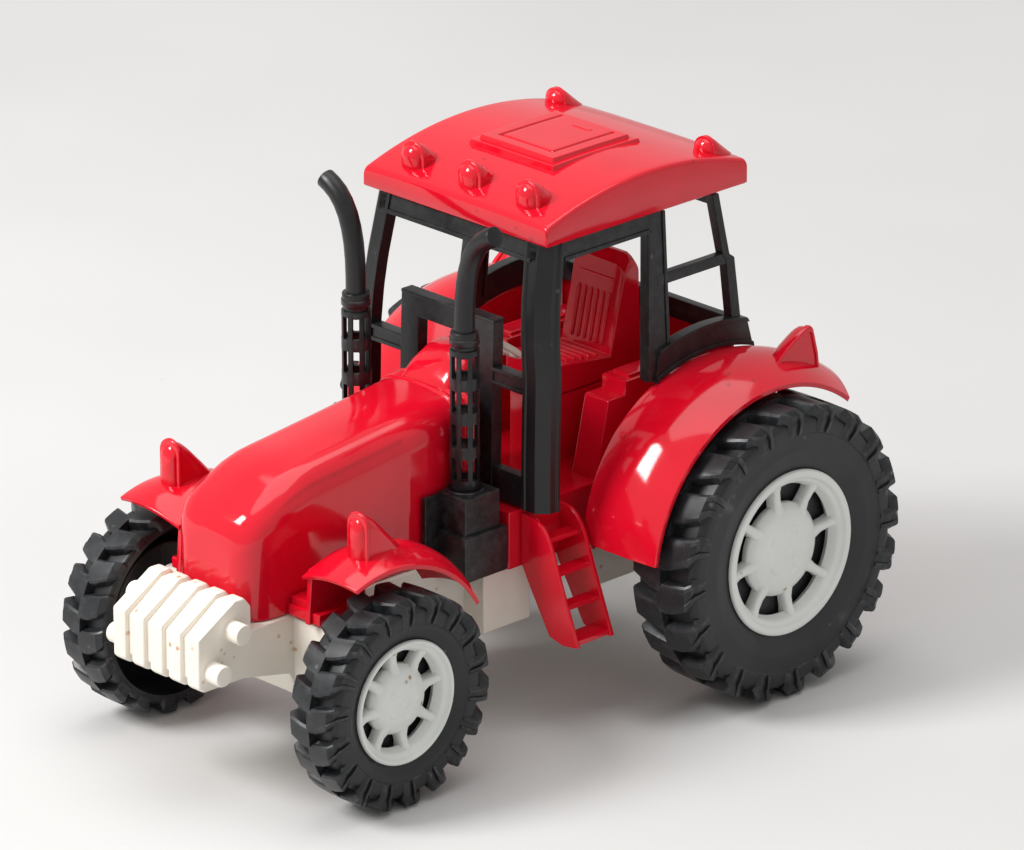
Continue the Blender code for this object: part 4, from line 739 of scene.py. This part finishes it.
def chassis():
    low, half = CHASSIS_LOW.z, 13.5 * MM
    raised = low + 8.5 * MM
    front, rear, tub = FRONT.y, REAR.y, TUB_LOW.y
    top, tub_rear = FLOOR - 1.6 * MM, TUB_HIGH.y - 1.6 * MM
    skirt = TUB_SKIRT - GAP
    outline = [
        (HOOD_FRONT - 2 * MM, 26.6 * MM), (front - 8 * MM, 24.0 * MM), (front - 5 * MM, low),
        (tub + 10 * MM, low), (tub + 13 * MM, raised), (rear - 22 * MM, raised), (rear - 19 * MM, low),
        (rear + 8 * MM, low), (tub_rear, 25.0 * MM), (tub_rear, top - 3 * MM), (tub + 4 * MM, top - 3 * MM),
        (tub + 4 * MM, skirt), (tub - 3 * MM, skirt), (tub - 3 * MM, DECK), (HOOD_FRONT - 2 * MM, DECK),
    ]
    shells = [
        prism_x(outline, -half, half, 0.5 * MM, 20),
        block((-27 * MM, front - 6.5 * MM, low + 1 * MM), (27 * MM, front + 6.5 * MM, DECK - 0.6 * MM),
              0.6 * MM),
        block((-26 * MM, rear - 7 * MM, REAR.z - 7 * MM), (26 * MM, rear + 7 * MM, REAR.z + 6 * MM),
              0.6 * MM),
        block((-19.5 * MM, tub - 5 * MM, low + 2 * MM), (19.5 * MM, tub + 9 * MM, skirt), 0.6 * MM),
        block((-4 * MM, tub_rear - 2 * MM, 25.5 * MM), (4 * MM, CHASSIS_HIGH.y, 28.5 * MM), 0.5 * MM),
    ]
    plates, wide = 5, 13.4 * MM
    pitch = 2 * wide / (plates - 0.3)
    shells.append(prism_x(weight_outline(1.0 * MM), -wide + MM, wide - MM, 0.4 * MM, 20))
    for i in range(plates):
        x = -wide + i * pitch
        shells.append(prism_x(weight_outline(0.0), x, x + 0.7 * pitch, 0.55 * MM, 20))
    for y, z in ((NOSE + 9.2 * MM, 38.4 * MM), (NOSE + 3.6 * MM, 30.8 * MM)):
        reach = wide + 4.0 * MM
        shells.append(rod((-reach, y, z), (reach, y, z), 2.3 * MM, 0.6 * MM))
    piece("chassis_moulding", shells, "chassis", "tractor", "ivory", 40)


def weight_outline(deep):
    """The side of a nose weight, set in by a depth."""
    low, high = 26.6 * MM, NOSE_HIGH
    back = HOOD_FRONT - GAP
    return [
        (NOSE + deep, low + 1.2 * MM + deep), (NOSE + 1.5 * MM + deep, low + deep),
        (back - 1.5 * MM, low + deep), (back, low + 2 * MM), (back, high - 2.2 * MM - deep),
        (back - 1.8 * MM, high - deep), (back - 4.4 * MM, high - deep), (NOSE + deep, 38.6 * MM - deep),
    ]


# Cab


def cab_tub():
    half, front, rear = TUB_HALF, TUB_LOW.y, TUB_HIGH.y
    skirt, panel_top = TUB_SKIRT, TUB_HIGH.z
    bow = REAR.y - 13 * MM
    outline = [(front, skirt), (bow, skirt), (bow + 3 * MM, FLOOR - 3 * MM), (rear - 3 * MM, FLOOR - 3 * MM),
               (rear - 1.7 * MM, skirt), (rear - 0.3 * MM, skirt), (rear - 0.3 * MM, FLOOR),
               (front, FLOOR)]
    seat_y, post = SEAT_LOW.y + 0.9 * MM, 7.8 * MM
    shells = [
        prism_x(outline, -half, half, 0.5 * MM),
        block((-post, seat_y, FLOOR - 0.6 * MM), (post, seat_y + 21.5 * MM, SEAT_LOW.z - GAP), 0.7 * MM),
        block((-25.9 * MM, rear - TUB_WALL, skirt + 10 * MM), (25.9 * MM, rear, panel_top), 0.4 * MM),
    ]
    for side in (1, -1):
        x0, x1, y0, top = side * (post + 6.5 * MM), side * (half - 0.2 * MM), seat_y + MM, 67.5 * MM
        shells.append(prism_x([
            (y0 - 4 * MM, FLOOR - 0.6 * MM), (y0, top - 3 * MM), (y0 + 5 * MM, top - 3 * MM),
            (y0 + 5 * MM, top), (rear - 0.6 * MM, top), (rear - 0.6 * MM, FLOOR - 0.6 * MM)],
            x0, x1, 0.6 * MM))
        shells.append(block((side * (post + 7.6 * MM), y0 + 7.2 * MM, top - MM),
                            (side * (half - 1.4 * MM), rear - 3 * MM, top + 0.7 * MM), 0.5 * MM))
    piece("tub_moulding", shells, "cab_tub", "tractor", "glossy_red", 40)


def rib(start, end, radius, tip):
    """A thin round rib whose ends taper to a tip's radius."""
    lead = (end - start).normalized() * 0.4 * MM
    return tube([start, start + lead, end - lead, end], [tip, radius, radius, tip], 12)


def seat():
    """A bucket seat: a ribbed cushion and a ribbed back with a rounded head."""
    base, half = SEAT_LOW.z, SEAT_HIGH.x
    front, back = SEAT_LOW.y, SEAT_HIGH.y
    joint = (back - 9.2 * MM, base + 4.8 * MM)
    side_view = [
        (front, base), (front, base + 5.6 * MM), (front + 1.2 * MM, base + 6.4 * MM), joint,
        (joint[0] + 4.2 * MM, base + 24.0 * MM), (joint[0] + 6.0 * MM, base + 26.3 * MM),
        (joint[0] + 7.4 * MM, base + 26.3 * MM), (back - 0.7 * MM, base + 24.5 * MM), (back, base),
    ]
    rings = []
    corner = ((half, 2.6), (half - 0.5 * MM, 1.5), (half - 1.4 * MM, 0.6), (half - 2.6 * MM, 0.0))
    for x, lower in [*((-x, drop) for x, drop in corner), *reversed(corner)]:
        ring = []
        for y, z in side_view:
            share = max((z - base - 12 * MM) / (14.3 * MM), 0)
            ring.append((x, y, z - lower * MM * share * share))
        rings.append(ring)
    shells = [loft(rings, 0.35 * MM, 2, 24)]
    lean = Vector((0, 4.2, 19.2)).normalized()
    out = Vector((0, -lean.z, lean.y))
    foot = Vector((0, *joint)) + lean * 1.6 * MM
    for k in range(6):
        x = mix(-4.6, 4.6, k / 5) * MM
        start, end = foot + out * 0.05 * MM, foot + lean * 11.6 * MM + out * 0.05 * MM
        start.x = end.x = x
        shells.append(rib(start, end, 0.5 * MM, 0.2 * MM))
    brow, reach = foot + lean * 14.6 * MM, Vector((5.2 * MM, 0, 0))
    shells.append(rib(brow - reach, brow + reach, 0.34 * MM, 0.15 * MM))
    for k in range(6):
        t = mix(0.12, 0.84, k / 5)
        y, z = mix(front + 1.2 * MM, joint[0], t), mix(base + 6.4 * MM, joint[1], t)
        shells.append(rib(Vector((-6 * MM, y, z)), Vector((6 * MM, y, z)), 0.52 * MM, 0.2 * MM))
    piece("seat_moulding", shells, "seat", "tractor", "glossy_red", 40)


WHEEL_TILT = 35  # degrees from level, the front edge higher


def steering_wheel():
    """A dished wheel with three spokes on a column that plugs into the cowl."""
    outer, thick = x_span("steering_wheel")[1], 0.8 * MM
    radius = outer - thick
    centre = Vector((0, SHIELD + 12.9 * MM, 76.0 * MM))
    tilt = math.radians(WHEEL_TILT)
    axis, level = Vector((0, math.sin(tilt), math.cos(tilt))), Vector((1, 0, 0))
    turn = Matrix.Translation(centre) @ Matrix((axis, level, axis.cross(level))).transposed().to_4x4()
    shells = [turned(arc((0, radius), thick, 0, 345, 23), 0, 0, 0, 1, 64, closed=True)]
    hub = 0.3 * outer
    boss = softened([(-1.8 * MM, 0.0), (-1.8 * MM, 0.8 * hub), (-0.9 * MM, hub), (-0.2 * MM, 0.85 * hub),
                     (0.05 * MM, 0.4 * hub), (0.1 * MM, 0.0)], 0.3 * MM)
    shells.append(turned(boss, 0, 0, 0, 1, 40))
    for angle in (90, 210, 330):
        a = math.radians(angle)
        ahead, across = Vector((0, math.cos(a), math.sin(a))), Vector((0, -math.sin(a), math.cos(a)))
        rings = []
        for out, wide, back in ((0.5 * hub, 1.2, -0.9), (1.3 * hub, 0.95, -0.75),
                                (0.75 * radius, 0.8, -0.35), (radius, 0.95, 0.0)):
            rings.append([ahead * out + across * wide * MM * math.cos(b)
                          + Vector((back * MM + 0.48 * MM * math.sin(b), 0, 0))
                          for b in (2 * math.pi * k / 16 for k in range(16))])
        shells.append(loft(rings))
    shells.append(rod((-10.6 * MM, 0, 0), (-MM, 0, 0), 1.5 * MM, 0.2 * MM))
    for shell in shells:
        shell.transform(turn)
    piece("spoked_steering_wheel", shells, "steering_wheel", "tractor", "ivory", 50, False)


SHIELD_LEAN = ((60.0 * MM, 0.0), (85.0 * MM, 0.6 * MM), (92.0 * MM, 1.3 * MM), (RAIL, 3.8 * MM))
PILLAR_CHAMFER, PILLAR_FRONT, PILLAR_SIDE = 2.8 * MM, 3.6 * MM, 2.6 * MM
SHIELD_DEPTH, FRAME_DEPTH = 3.2 * MM, 2.8 * MM
BEAD, STEP = 0.9 * MM, 0.38 * MM  # a raised bead beside each opening, and its height


def frame_x(z):
    """Outside of the frame's sides at a height: they lean out below the roof."""
    return 26.9 * MM + 2.7 * MM * min((RAIL - z) / (RAIL - SILL), 1)


def shield_y(z):
    """The windshield's front face at a height, curving back to the roof."""
    if z <= SHIELD_LEAN[0][0]:
        return SHIELD
    return SHIELD + between(SHIELD_LEAN, z)[0]


def levels(low, high, count=10):
    return [mix(low, high, k / count) for k in range(count + 1)]


def a_pillar(side):
    rings = []
    for z in levels(FLOOR + GAP, RAIL, 26):
        x, y, c = frame_x(z), shield_y(z), PILLAR_CHAMFER
        edge, inside = x - c - PILLAR_FRONT, y + c + PILLAR_SIDE
        ring = [
            (edge, y), (edge + BEAD, y), (edge + BEAD + 0.15 * MM, y + STEP),
            (x - c + 0.1 * MM, y + STEP), (x - STEP, y + c - 0.1 * MM), (x - STEP, inside - BEAD - 0.15 * MM),
            (x, inside - BEAD), (x, inside), (x - FRAME_DEPTH, inside),
            (x - FRAME_DEPTH, y + SHIELD_DEPTH + 0.8 * MM), (x - c - 0.8 * MM, y + SHIELD_DEPTH),
            (edge, y + SHIELD_DEPTH),
        ]
        rings.append([(side * px, py, z) for px, py in ring])
    return loft(rings, 0.14 * MM, 2, 28)


def cross_bar(x0, x1, low, high, inset, radius=0.25 * MM):
    """A bar in the plane of the windshield."""
    rings = []
    for z in levels(low, high, 4):
        y0, y1 = shield_y(z) + inset, shield_y(z) + SHIELD_DEPTH - inset
        rings.append([(x0, y0, z), (x1, y0, z), (x1, y1, z), (x0, y1, z)])
    return loft(rings, radius)


def side_bar(side, stations, inset, radius=0.22 * MM):
    """A pillar or rail in the cab's side: (front y, rear y, z) from top to bottom."""
    rings = []
    for y0, y1, z in stations:
        x0, x1 = frame_x(z) - inset, frame_x(z) - FRAME_DEPTH + inset
        rings.append([(side * x, y, z) for x, y in ((x0, y0), (x0, y1), (x1, y1), (x1, y0))])
    return loft(rings, radius, 2, 20)


def cab_frame():
    b_post, c_post = REAR.y - 17.8 * MM, REAR.y + 3.8 * MM
    step_half, post, step_top = 14.2 * MM, 5.4 * MM, 87.4 * MM
    window_half = frame_x(SILL) - PILLAR_CHAMFER - PILLAR_FRONT + 0.6 * MM
    rail_front = shield_y(RAIL) + PILLAR_CHAMFER + 0.4 * MM
    top_half = frame_x(RAIL) - PILLAR_CHAMFER
    rail_low = RAIL - 4.2 * MM
    shells = []
    for side in (1, -1):
        outer, inner, edge = side * step_half, side * (step_half - post), side * window_half
        notch = side * 0.5 * MM

        def shield_bar(x0, x1, low, high, inset, radius=0.25 * MM):
            shells.append(cross_bar(*sorted((x0, x1)), low, high, inset, radius))

        def bar(stations, inset, radius=0.22 * MM):
            shells.append(side_bar(side, stations, inset, radius))

        shells.append(a_pillar(side))
        shield_bar(inner, outer, FLOOR + GAP, step_top - 0.2 * MM, 0.12 * MM)
        shield_bar(inner + notch, edge, FLOOR + 2 * GAP, 54.9 * MM, 0.3 * MM)
        shield_bar(outer - notch, edge, SILL - 3.6 * MM, SILL, 0.45 * MM)
        for low, high in ((SILL - 0.9 * MM, SILL + 0.02 * MM), (SILL - 3.7 * MM, SILL - 2.8 * MM)):
            shield_bar(outer - notch, edge, low, high, 0.1 * MM, 0.18 * MM)
        bar([(b_post + 2.2 * MM, b_post + 7.2 * MM, RAIL - 0.2 * MM), (b_post, b_post + 6.5 * MM, 74 * MM),
             (b_post, b_post + 6.5 * MM, 72.4 * MM), (b_post, b_post + 1.2 * MM, 69.4 * MM)], STEP)
        # the beads down the pillar, on its door side and its window side
        bar([(b_post + 2.1 * MM, b_post + 3.2 * MM, RAIL - 4 * MM),
             (b_post - 0.1 * MM, b_post + 1.1 * MM, 74 * MM),
             (b_post - 0.05 * MM, b_post + 1.1 * MM, 69.6 * MM)], 0.05 * MM, 0.16 * MM)
        bar([(b_post + 6.4 * MM, b_post + 7.3 * MM, RAIL - 0.3 * MM),
             (b_post + 5.7 * MM, b_post + 6.6 * MM, 74 * MM),
             (b_post + 5.7 * MM, b_post + 6.6 * MM, 72.6 * MM)], 0.05 * MM, 0.16 * MM)
        bar([(c_post, c_post + 2.0 * MM, RAIL - 0.5 * MM), (c_post + 2.2 * MM, c_post + 4.2 * MM, 91.8 * MM),
             (c_post + 3.0 * MM, c_post + 5.6 * MM, 90.8 * MM),
             (c_post + 3.9 * MM, c_post + 6.7 * MM, 75.0 * MM)], 0.2 * MM)
        # the roof rail, the bead under it and the bar across the rear window
        bar([(rail_front, b_post + 6.0 * MM, z) for z in (RAIL - 0.1 * MM, rail_low)], STEP)
        bar([(rail_front + 2 * MM, b_post + 2.6 * MM, rail_low + d * MM) for d in (0.9, -0.05)],
            0.06 * MM, 0.16 * MM)
        bar([(b_post + 4 * MM, c_post + 4.0 * MM, 92.2 * MM),
             (b_post + 4 * MM, c_post + 4.6 * MM, 89.8 * MM)],
            0.4 * MM)
        shells += arched_panel(side)
    inside, beam, rear_half = top_half - 1.5 * MM, 25.9 * MM, 28.6 * MM
    shells += [
        cross_bar(-top_half, top_half, rail_low, RAIL - 0.2 * MM, STEP),
        cross_bar(-inside, inside, rail_low - 0.05 * MM, rail_low + 0.9 * MM, 0.04 * MM, 0.16 * MM),
        cross_bar(-step_half + 0.1 * MM, step_half - 0.1 * MM, step_top - 5.2 * MM, step_top - 0.1 * MM,
                  0.3 * MM),
        cross_bar(-step_half, step_half, step_top - 0.8 * MM, step_top, 0.0, 0.25 * MM),
        block((-beam, c_post + 0.3 * MM, RAIL - 3.0 * MM), (beam, c_post + 1.8 * MM, RAIL - 0.3 * MM)),
        block((-rear_half, c_post + 4.2 * MM, TUB_HIGH.z + GAP), (rear_half, c_post + 6.4 * MM, 77.4 * MM)),
    ]
    piece("cab_frame_moulding", shells, "cab_frame", "tractor", "satin_black", 34)


def arched_panel(side):
    """The panel over the rear fender, with a flange along its foot."""
    edge = REAR.z + 3.2 * MM + 2.9 * MM + GAP
    centre = (REAR.y, REAR.z)
    x = frame_x(SILL)
    made = []
    for low, high, proud, deep in ((0.0, 6.0, 0.15 * MM, 2.2 * MM), (0.0, 1.0, 0.6 * MM, 2.0 * MM),
                                   (5.1, 6.05, 0.5 * MM, 2.1 * MM)):
        outline = [*arc(centre, edge + low * MM, mix(69.5, 74.5, low / 6), mix(114, 109, low / 6), 14),
                   *arc(centre, edge + high * MM, mix(114, 109, high / 6), mix(69.5, 75, high / 6), 14)]
        made.append(prism_x(outline, side * (x - deep), side * (x + proud), 0.18 * MM, 40))
    return made


# Roof

HATCH = (12.6 * MM, SHIELD + 19.6 * MM, SHIELD + 45.4 * MM)  # half width, front and rear


def roof_crown(y):
    share = (y - ROOF_LOW.y) / (ROOF_HIGH.y - ROOF_LOW.y)
    return ROOF_LOW.z + (4.6 + 1.5 * share + 5.0 * (1 - (2 * share - 0.98) ** 2)) * MM


def plateau(x, y, half, y0, y1, soft):
    """1 inside a rectangle and 0 outside it, with soft edges."""
    inside = min(half - abs(x), y - y0, y1 - y)
    return ease(inside / soft + 0.5)


def roof_relief(x, y):
    """What the hatch, its groove and its grip add to the roof's height."""
    half, y0, y1 = HATCH
    inset, soft = 1.6 * MM, 0.3 * MM
    level = max(roof_crown((y0 + y1) / 2) - roof_crown(y), 0)  # the hatch is flatter than the roof
    high = (0.35 * MM + 0.7 * level) * plateau(x, y, half, y0, y1, soft)
    high += (0.7 * MM + 0.25 * level) * plateau(x, y, half - inset, y0 + inset, y1 - inset, soft)
    lid = (half - 4.4 * MM, y0 + 4.2 * MM, y1 + 4 * MM)
    groove = 0.75 * MM
    ring = plateau(x, y, *lid, soft) - plateau(x, y, lid[0] - groove, lid[1] + groove, lid[2], soft)
    if y < y1 - inset - 1.2 * MM:
        high -= 0.5 * MM * ring
    high += 0.2 * MM * plateau(x - 1.2 * MM, y, 2.6 * MM, y1 - 6.4 * MM, y1 - 5.4 * MM, 0.25 * MM)
    return high


def lines(low, high, step, marks):
    """Grid lines from low to high, closer together about each mark."""
    count = math.ceil((high - low) / step)
    places = {round(mix(low, high, k / count), 7) for k in range(count + 1)}
    for mark in marks:
        places |= {round(mark + d * MM, 7) for d in (-0.25, -0.12, 0.0, 0.12, 0.25)
                   if low < mark + d * MM < high}
    ordered = sorted(places)
    return [p for p, after in zip(ordered, [*ordered[1:], math.inf]) if after - p > 0.04 * MM]


def roof():
    """An arched lid with a crisp lower band, a hatch and five lamps."""
    half = ROOF_HIGH.x
    y0, y1 = ROOF_LOW.y, ROOF_HIGH.y
    hatch_half, hatch_front, hatch_rear = HATCH
    lid = hatch_half - 4.4 * MM
    x_marks = [s * m for s in (1, -1) for m in (hatch_half, hatch_half - 1.6 * MM, lid, lid - 0.75 * MM)]
    x_marks += [-1.4 * MM, 3.8 * MM]
    y_marks = [hatch_front, hatch_front + 1.6 * MM, hatch_front + 4.2 * MM, hatch_front + 4.95 * MM,
               hatch_rear - 6.4 * MM, hatch_rear - 5.4 * MM, hatch_rear - 2.8 * MM, hatch_rear - 1.6 * MM,
               hatch_rear]
    edge = 0.9 * MM
    rounding = [edge * (1 - math.cos(math.radians(a))) for a in (0, 12, 24, 36, 48, 60, 75, 90)]
    xs = [-half + d for d in rounding] + lines(-half + 2.4 * MM, half - 2.4 * MM, 1.5 * MM, x_marks)
    xs += [half - d for d in reversed(rounding)]
    ys = [y0 + d for d in rounding] + lines(y0 + 2.4 * MM, y1 - 2.4 * MM, 1.5 * MM, y_marks)
    ys += [y1 - d for d in reversed(rounding)]

    def height(x, y):
        top = roof_crown(y) - 0.5 * MM * (abs(x) / half) ** 2.5
        for inside in (half - abs(x), y - y0, y1 - y):
            lost = max(edge - inside, 0)
            top -= edge - math.sqrt(max(edge ** 2 - lost ** 2, 0))
        return top + roof_relief(x, y)

    made = bmesh.new()
    grid = [[made.verts.new((x, y, height(x, y))) for x in xs] for y in ys]
    for first, second in zip(grid, grid[1:]):
        for i in range(len(xs) - 1):
            made.faces.new((first[i], first[i + 1], second[i + 1], second[i]))
    border = [*grid[0], *[row[-1] for row in grid[1:]], *reversed(grid[-1][:-1]),
              *[row[0] for row in reversed(grid[1:-1])]]
    low = ROOF_LOW.z
    above = border
    for share, z in ((1.0, low + 0.3 * MM), (0.99, low), (0.93, low), (0.92, low + 2.2 * MM)):
        below = [made.verts.new((v.co.x * share, mix((y0 + y1) / 2, v.co.y, share), z)) for v in border]
        strip(made, above, below)
        above = below
    made.faces.new(above)
    bmesh.ops.recalc_face_normals(made, faces=made.faces)
    shells = [made]
    for x in (-half + 10.5 * MM, 0.0, half - 10.5 * MM):
        y = y0 + 4.6 * MM
        shells += bullet(x, y, roof_crown(y) - 1.3 * MM, 3.3 * MM, 6.2 * MM, 9.2 * MM, 0.25 * MM)
    for side in (1, -1):
        y = y1 - 7.4 * MM
        shells += bullet(side * (half - 5.3 * MM), y, roof_crown(y) - 1.8 * MM, 3.0 * MM, 4.9 * MM,
                         6.6 * MM, 0.0)
    piece("roof_moulding", shells, "roof", "tractor", "glossy_red", 50, False)


# Stacks, boxes and ladders


def exhaust_stack(side):
    """A slotted cage, a stepped collar and a pipe that bends outwards at its mouth."""
    name = f"exhaust_stack_{side_name(side)}"
    low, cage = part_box(name)[0], STACK_CAGE
    x0 = x_span(name)[0] + cage
    x, y = side * x0, middle(name).y
    foot = low.z + 2.6 * MM
    top = foot + 31.2 * MM
    body = mesh_object("cage", [rod((x, y, foot), (x, y, top), cage, 0.25 * MM, 48)])
    cutters = [rod((x, y, foot + 1.5 * MM), (x, y, top - 1.5 * MM), cage - 0.95 * MM, 0.1 * MM, 32)]
    for row in range(4):
        z = foot + 2.2 * MM + row * 7.6 * MM
        for turn in (45, -45, 0, 90):
            a = math.radians(turn)
            long, wide = 4.4 * MM, 0.72 * MM
            ring = [(x + along * math.cos(a) - across * math.sin(a),
                     y + along * math.sin(a) + across * math.cos(a))
                    for along, across in ((-long, -wide), (long, -wide), (long, wide), (-long, wide))]
            cutters.append(loft([[(px, py, h) for px, py in ring] for h in (z, z + 5.0 * MM)], 0.22 * MM, 2))
    carve(body, cutters)
    cage_shell = bmesh.new()
    cage_shell.from_mesh(body.data)
    bpy.data.objects.remove(body, do_unlink=True)
    collar = tube([(x, y, top + d * MM) for d in (-0.8, 0.6, 0.8, 0.95, 1.15, 2.3, 2.45, 2.6, 3.6, 3.8, 3.9)],
                  [r * MM for r in (2.75, 2.75, 2.8, 3.05, 3.2, 3.2, 3.0, 3.02, 3.02, 2.9, 2.6)], 40)
    route = [(0.0, 83.0), (0.0, 86.0), (0.0, 89.0), (0.05, 92.5), (0.2, 96.0), (0.6, 99.5), (1.3, 102.6),
             (2.3, 105.4), (3.7, 107.8), (5.4, 109.7), (7.3, 111.0), (9.3, 111.95)]
    pipe = tube([(side * (x0 + dx * MM), y, z * MM) for dx, z in route], [2.2 * MM] * len(route), 32)
    spigot = rod((x, y, low.z), (x, y, foot + MM), 2.0 * MM, 0.2 * MM)
    piece(f"caged_{name}", [cage_shell, collar, round_edges(pipe, 0.25 * MM, 2, 60), spigot], name,
          "tractor", "satin_black", 40, False)


def side_box(side):
    """The two-tier box beside the hood."""
    name = f"side_box_{side_name(side)}"
    low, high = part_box(name)
    inner = HOOD_HALF + 2 * GAP
    y0, y1 = STACK_Y - 5.2 * MM, STACK_Y + 5.2 * MM
    step = 45.2 * MM
    shells = [
        block((side * inner, y0, step - MM), (side * 22.0 * MM, y1, high.z), 0.45 * MM),
        block((side * (inner + 0.4 * MM), y0 - 1.1 * MM, low.z), (side * 23.1 * MM, y1 + 1.1 * MM, step),
              0.45 * MM),
        block((side * inner, low.y, low.z + 2.6 * MM),
              (side * (inner + 1.2 * MM), y0 + MM, high.z - 0.4 * MM), 0.25 * MM),
    ]
    x = side * (x_span(f"exhaust_stack_{side_name(side)}")[0] + STACK_CAGE)
    shells.append(tube([(x, STACK_Y, high.z + d * MM) for d in (-0.4, 0.05, 0.22, 0.25)],
                       [r * MM for r in (4.1, 4.1, 3.9, 3.4)], 40))
    piece(f"stepped_{name}", shells, name, "tractor", "satin_black", 40)


def ladder(side):
    """Two raking side plates, three rungs and a bottom step."""
    name = f"ladder_{side_name(side)}"
    low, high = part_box(name)
    x0 = x_span(name)[0]
    front, rear, wall = low.y, high.y, 1.1 * MM
    outline = [(side * (x0 + dx * MM), z * MM) for dx, z in (
        (0.0, 46.4), (1.4, 46.4), (2.8, 46.3), (4.4, 45.9), (6.0, 44.9), (7.4, 43.4), (8.6, 41.4),
        (10.8, 35.8), (13.0, 30.2), (15.0, 25.2), (17.0, 20.2), (12.6, 19.6), (8.6, 20.6), (6.2, 24.4),
        (3.6, 28.6), (1.6, 32.0), (0.0, 35.0))]
    shells = [prism_y(outline, y, y + wall, 0.25 * MM) for y in (front, rear - wall)]
    lap = 0.4 * MM
    for dx, z in ((5.4, 41.2), (8.2, 34.4), (11.0, 27.6)):
        shells.append(block((side * (x0 + (dx - 1.8) * MM), front + lap, (z - 0.5) * MM),
                            (side * (x0 + (dx + 1.6) * MM), rear - lap, (z + 0.6) * MM), 0.25 * MM))
    shells.append(block((side * (x0 + 11 * MM), front + lap, 20.3 * MM),
                        (side * (x0 + 16.2 * MM), rear - lap, 21.5 * MM), 0.25 * MM))
    shells.append(block((side * (x0 + 0.2 * MM), front + lap, 36 * MM),
                        (side * (x0 + 1.2 * MM), rear - lap, 46 * MM), 0.2 * MM))
    piece(f"moulded_{name}", shells, name, "tractor", "glossy_red", 40)


# Stage


AZIMUTH, ELEVATION = math.radians(46.405), math.radians(21.147)  # of the camera
TARGET = Vector((0, 0, 59.5 * MM))  # the point that the camera looks towards
DISTANCE, LENS = 1.605, 265.6
TURN_RIGHT, TURN_UP = 0.00895, 0.00046  # the camera's aim, past the target


def stage():
    """A pale floor, soft light and the camera."""
    made = Nodes("paper")
    patches = made.span(made.noise(6.0, 3.0), 0.3, 0.7)
    tone = made.blend(patches, (0.60, 0.595, 0.585), (0.64, 0.635, 0.63))
    dusty = made.blend(made.specks(55.0, 0.03, 0.08), tone, (0.36, 0.33, 0.31))
    made.link(dusty, made.shader.inputs["Base Color"])
    made.shader.inputs["Roughness"].default_value = 0.75
    made.shader.inputs["Specular IOR Level"].default_value = 0.2
    made.link(made.bump(made.noise(700.0, 4.0), 0.2, 0.05 * MM), made.shader.inputs["Normal"])
    bpy.context.scene.view_settings.view_transform = "Standard"
    size = 3.0
    floor = mesh_object("floor", [block((-size, -size, -10 * MM), (size, size, -0.05 * MM), 0.0)])
    floor.data.materials.append(made.material)

    world = bpy.data.worlds.new("studio")
    bpy.context.scene.world = world
    world.use_nodes = True
    background = world.node_tree.nodes["Background"]
    background.inputs["Color"].default_value = (1.0, 0.99, 0.98, 1.0)
    background.inputs["Strength"].default_value = 0.6

    back = Vector((math.cos(ELEVATION) * math.sin(AZIMUTH), -math.cos(ELEVATION) * math.cos(AZIMUTH),
                   math.sin(ELEVATION)))
    right = Vector((math.cos(AZIMUTH), math.sin(AZIMUTH), 0))
    up = back.cross(right)
    data = bpy.data.cameras.new("camera")
    data.lens = LENS
    camera = bpy.data.objects.new("camera", data)
    bpy.context.scene.collection.objects.link(camera)
    ahead = (-back + right * TURN_RIGHT + up * TURN_UP).normalized()
    side = ahead.cross(Vector((0, 0, 1))).normalized()
    turn = Matrix((side, side.cross(ahead), -ahead)).transposed().to_4x4()
    camera.matrix_world = Matrix.Translation(TARGET + back * DISTANCE) @ turn
    bpy.context.scene.camera = camera

    def softbox(name, place, aim, width, height, power):
        light = bpy.data.lights.new(name, "AREA")
        light.shape = "RECTANGLE"
        light.size, light.size_y, light.energy = width, height, power
        lamp = bpy.data.objects.new(name, light)
        bpy.context.scene.collection.objects.link(lamp)
        lamp.location = place
        lamp.rotation_euler = (Vector(aim) - Vector(place)).to_track_quat("-Z", "Y").to_euler()

    centre = Vector((0, 0, 0.05))
    window = centre - right * 0.75 + back * 0.25 + Vector((0, 0, 0.62))
    softbox("window", window, centre, 0.34, 0.42, 10.0)
    softbox("ceiling", centre + Vector((-0.1, 0.1, 1.3)), centre, 1.1, 1.1, 7.2)


def carry_over():
    """The axles and screws keep their CAD meshes and get drawn steel."""
    for node in ("front_axle", "rear_axle", "hood_screw_left", "hood_screw_right",
                 "tub_screw_left", "tub_screw_right"):
        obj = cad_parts[node]
        obj.data.materials.clear()
        obj.data.materials.append(PLASTICS["steel"])


def main():
    chassis()
    hood()
    cab_tub()
    seat()
    steering_wheel()
    cab_frame()
    roof()
    for side in (1, -1):
        front_fender(side)
        rear_fender(side)
        side_box(side)
        exhaust_stack(side)
        ladder(side)
        for place in TYRE_SETS:
            tyre(place, side)
            rim(place, side)
    carry_over()
    stage()


main()
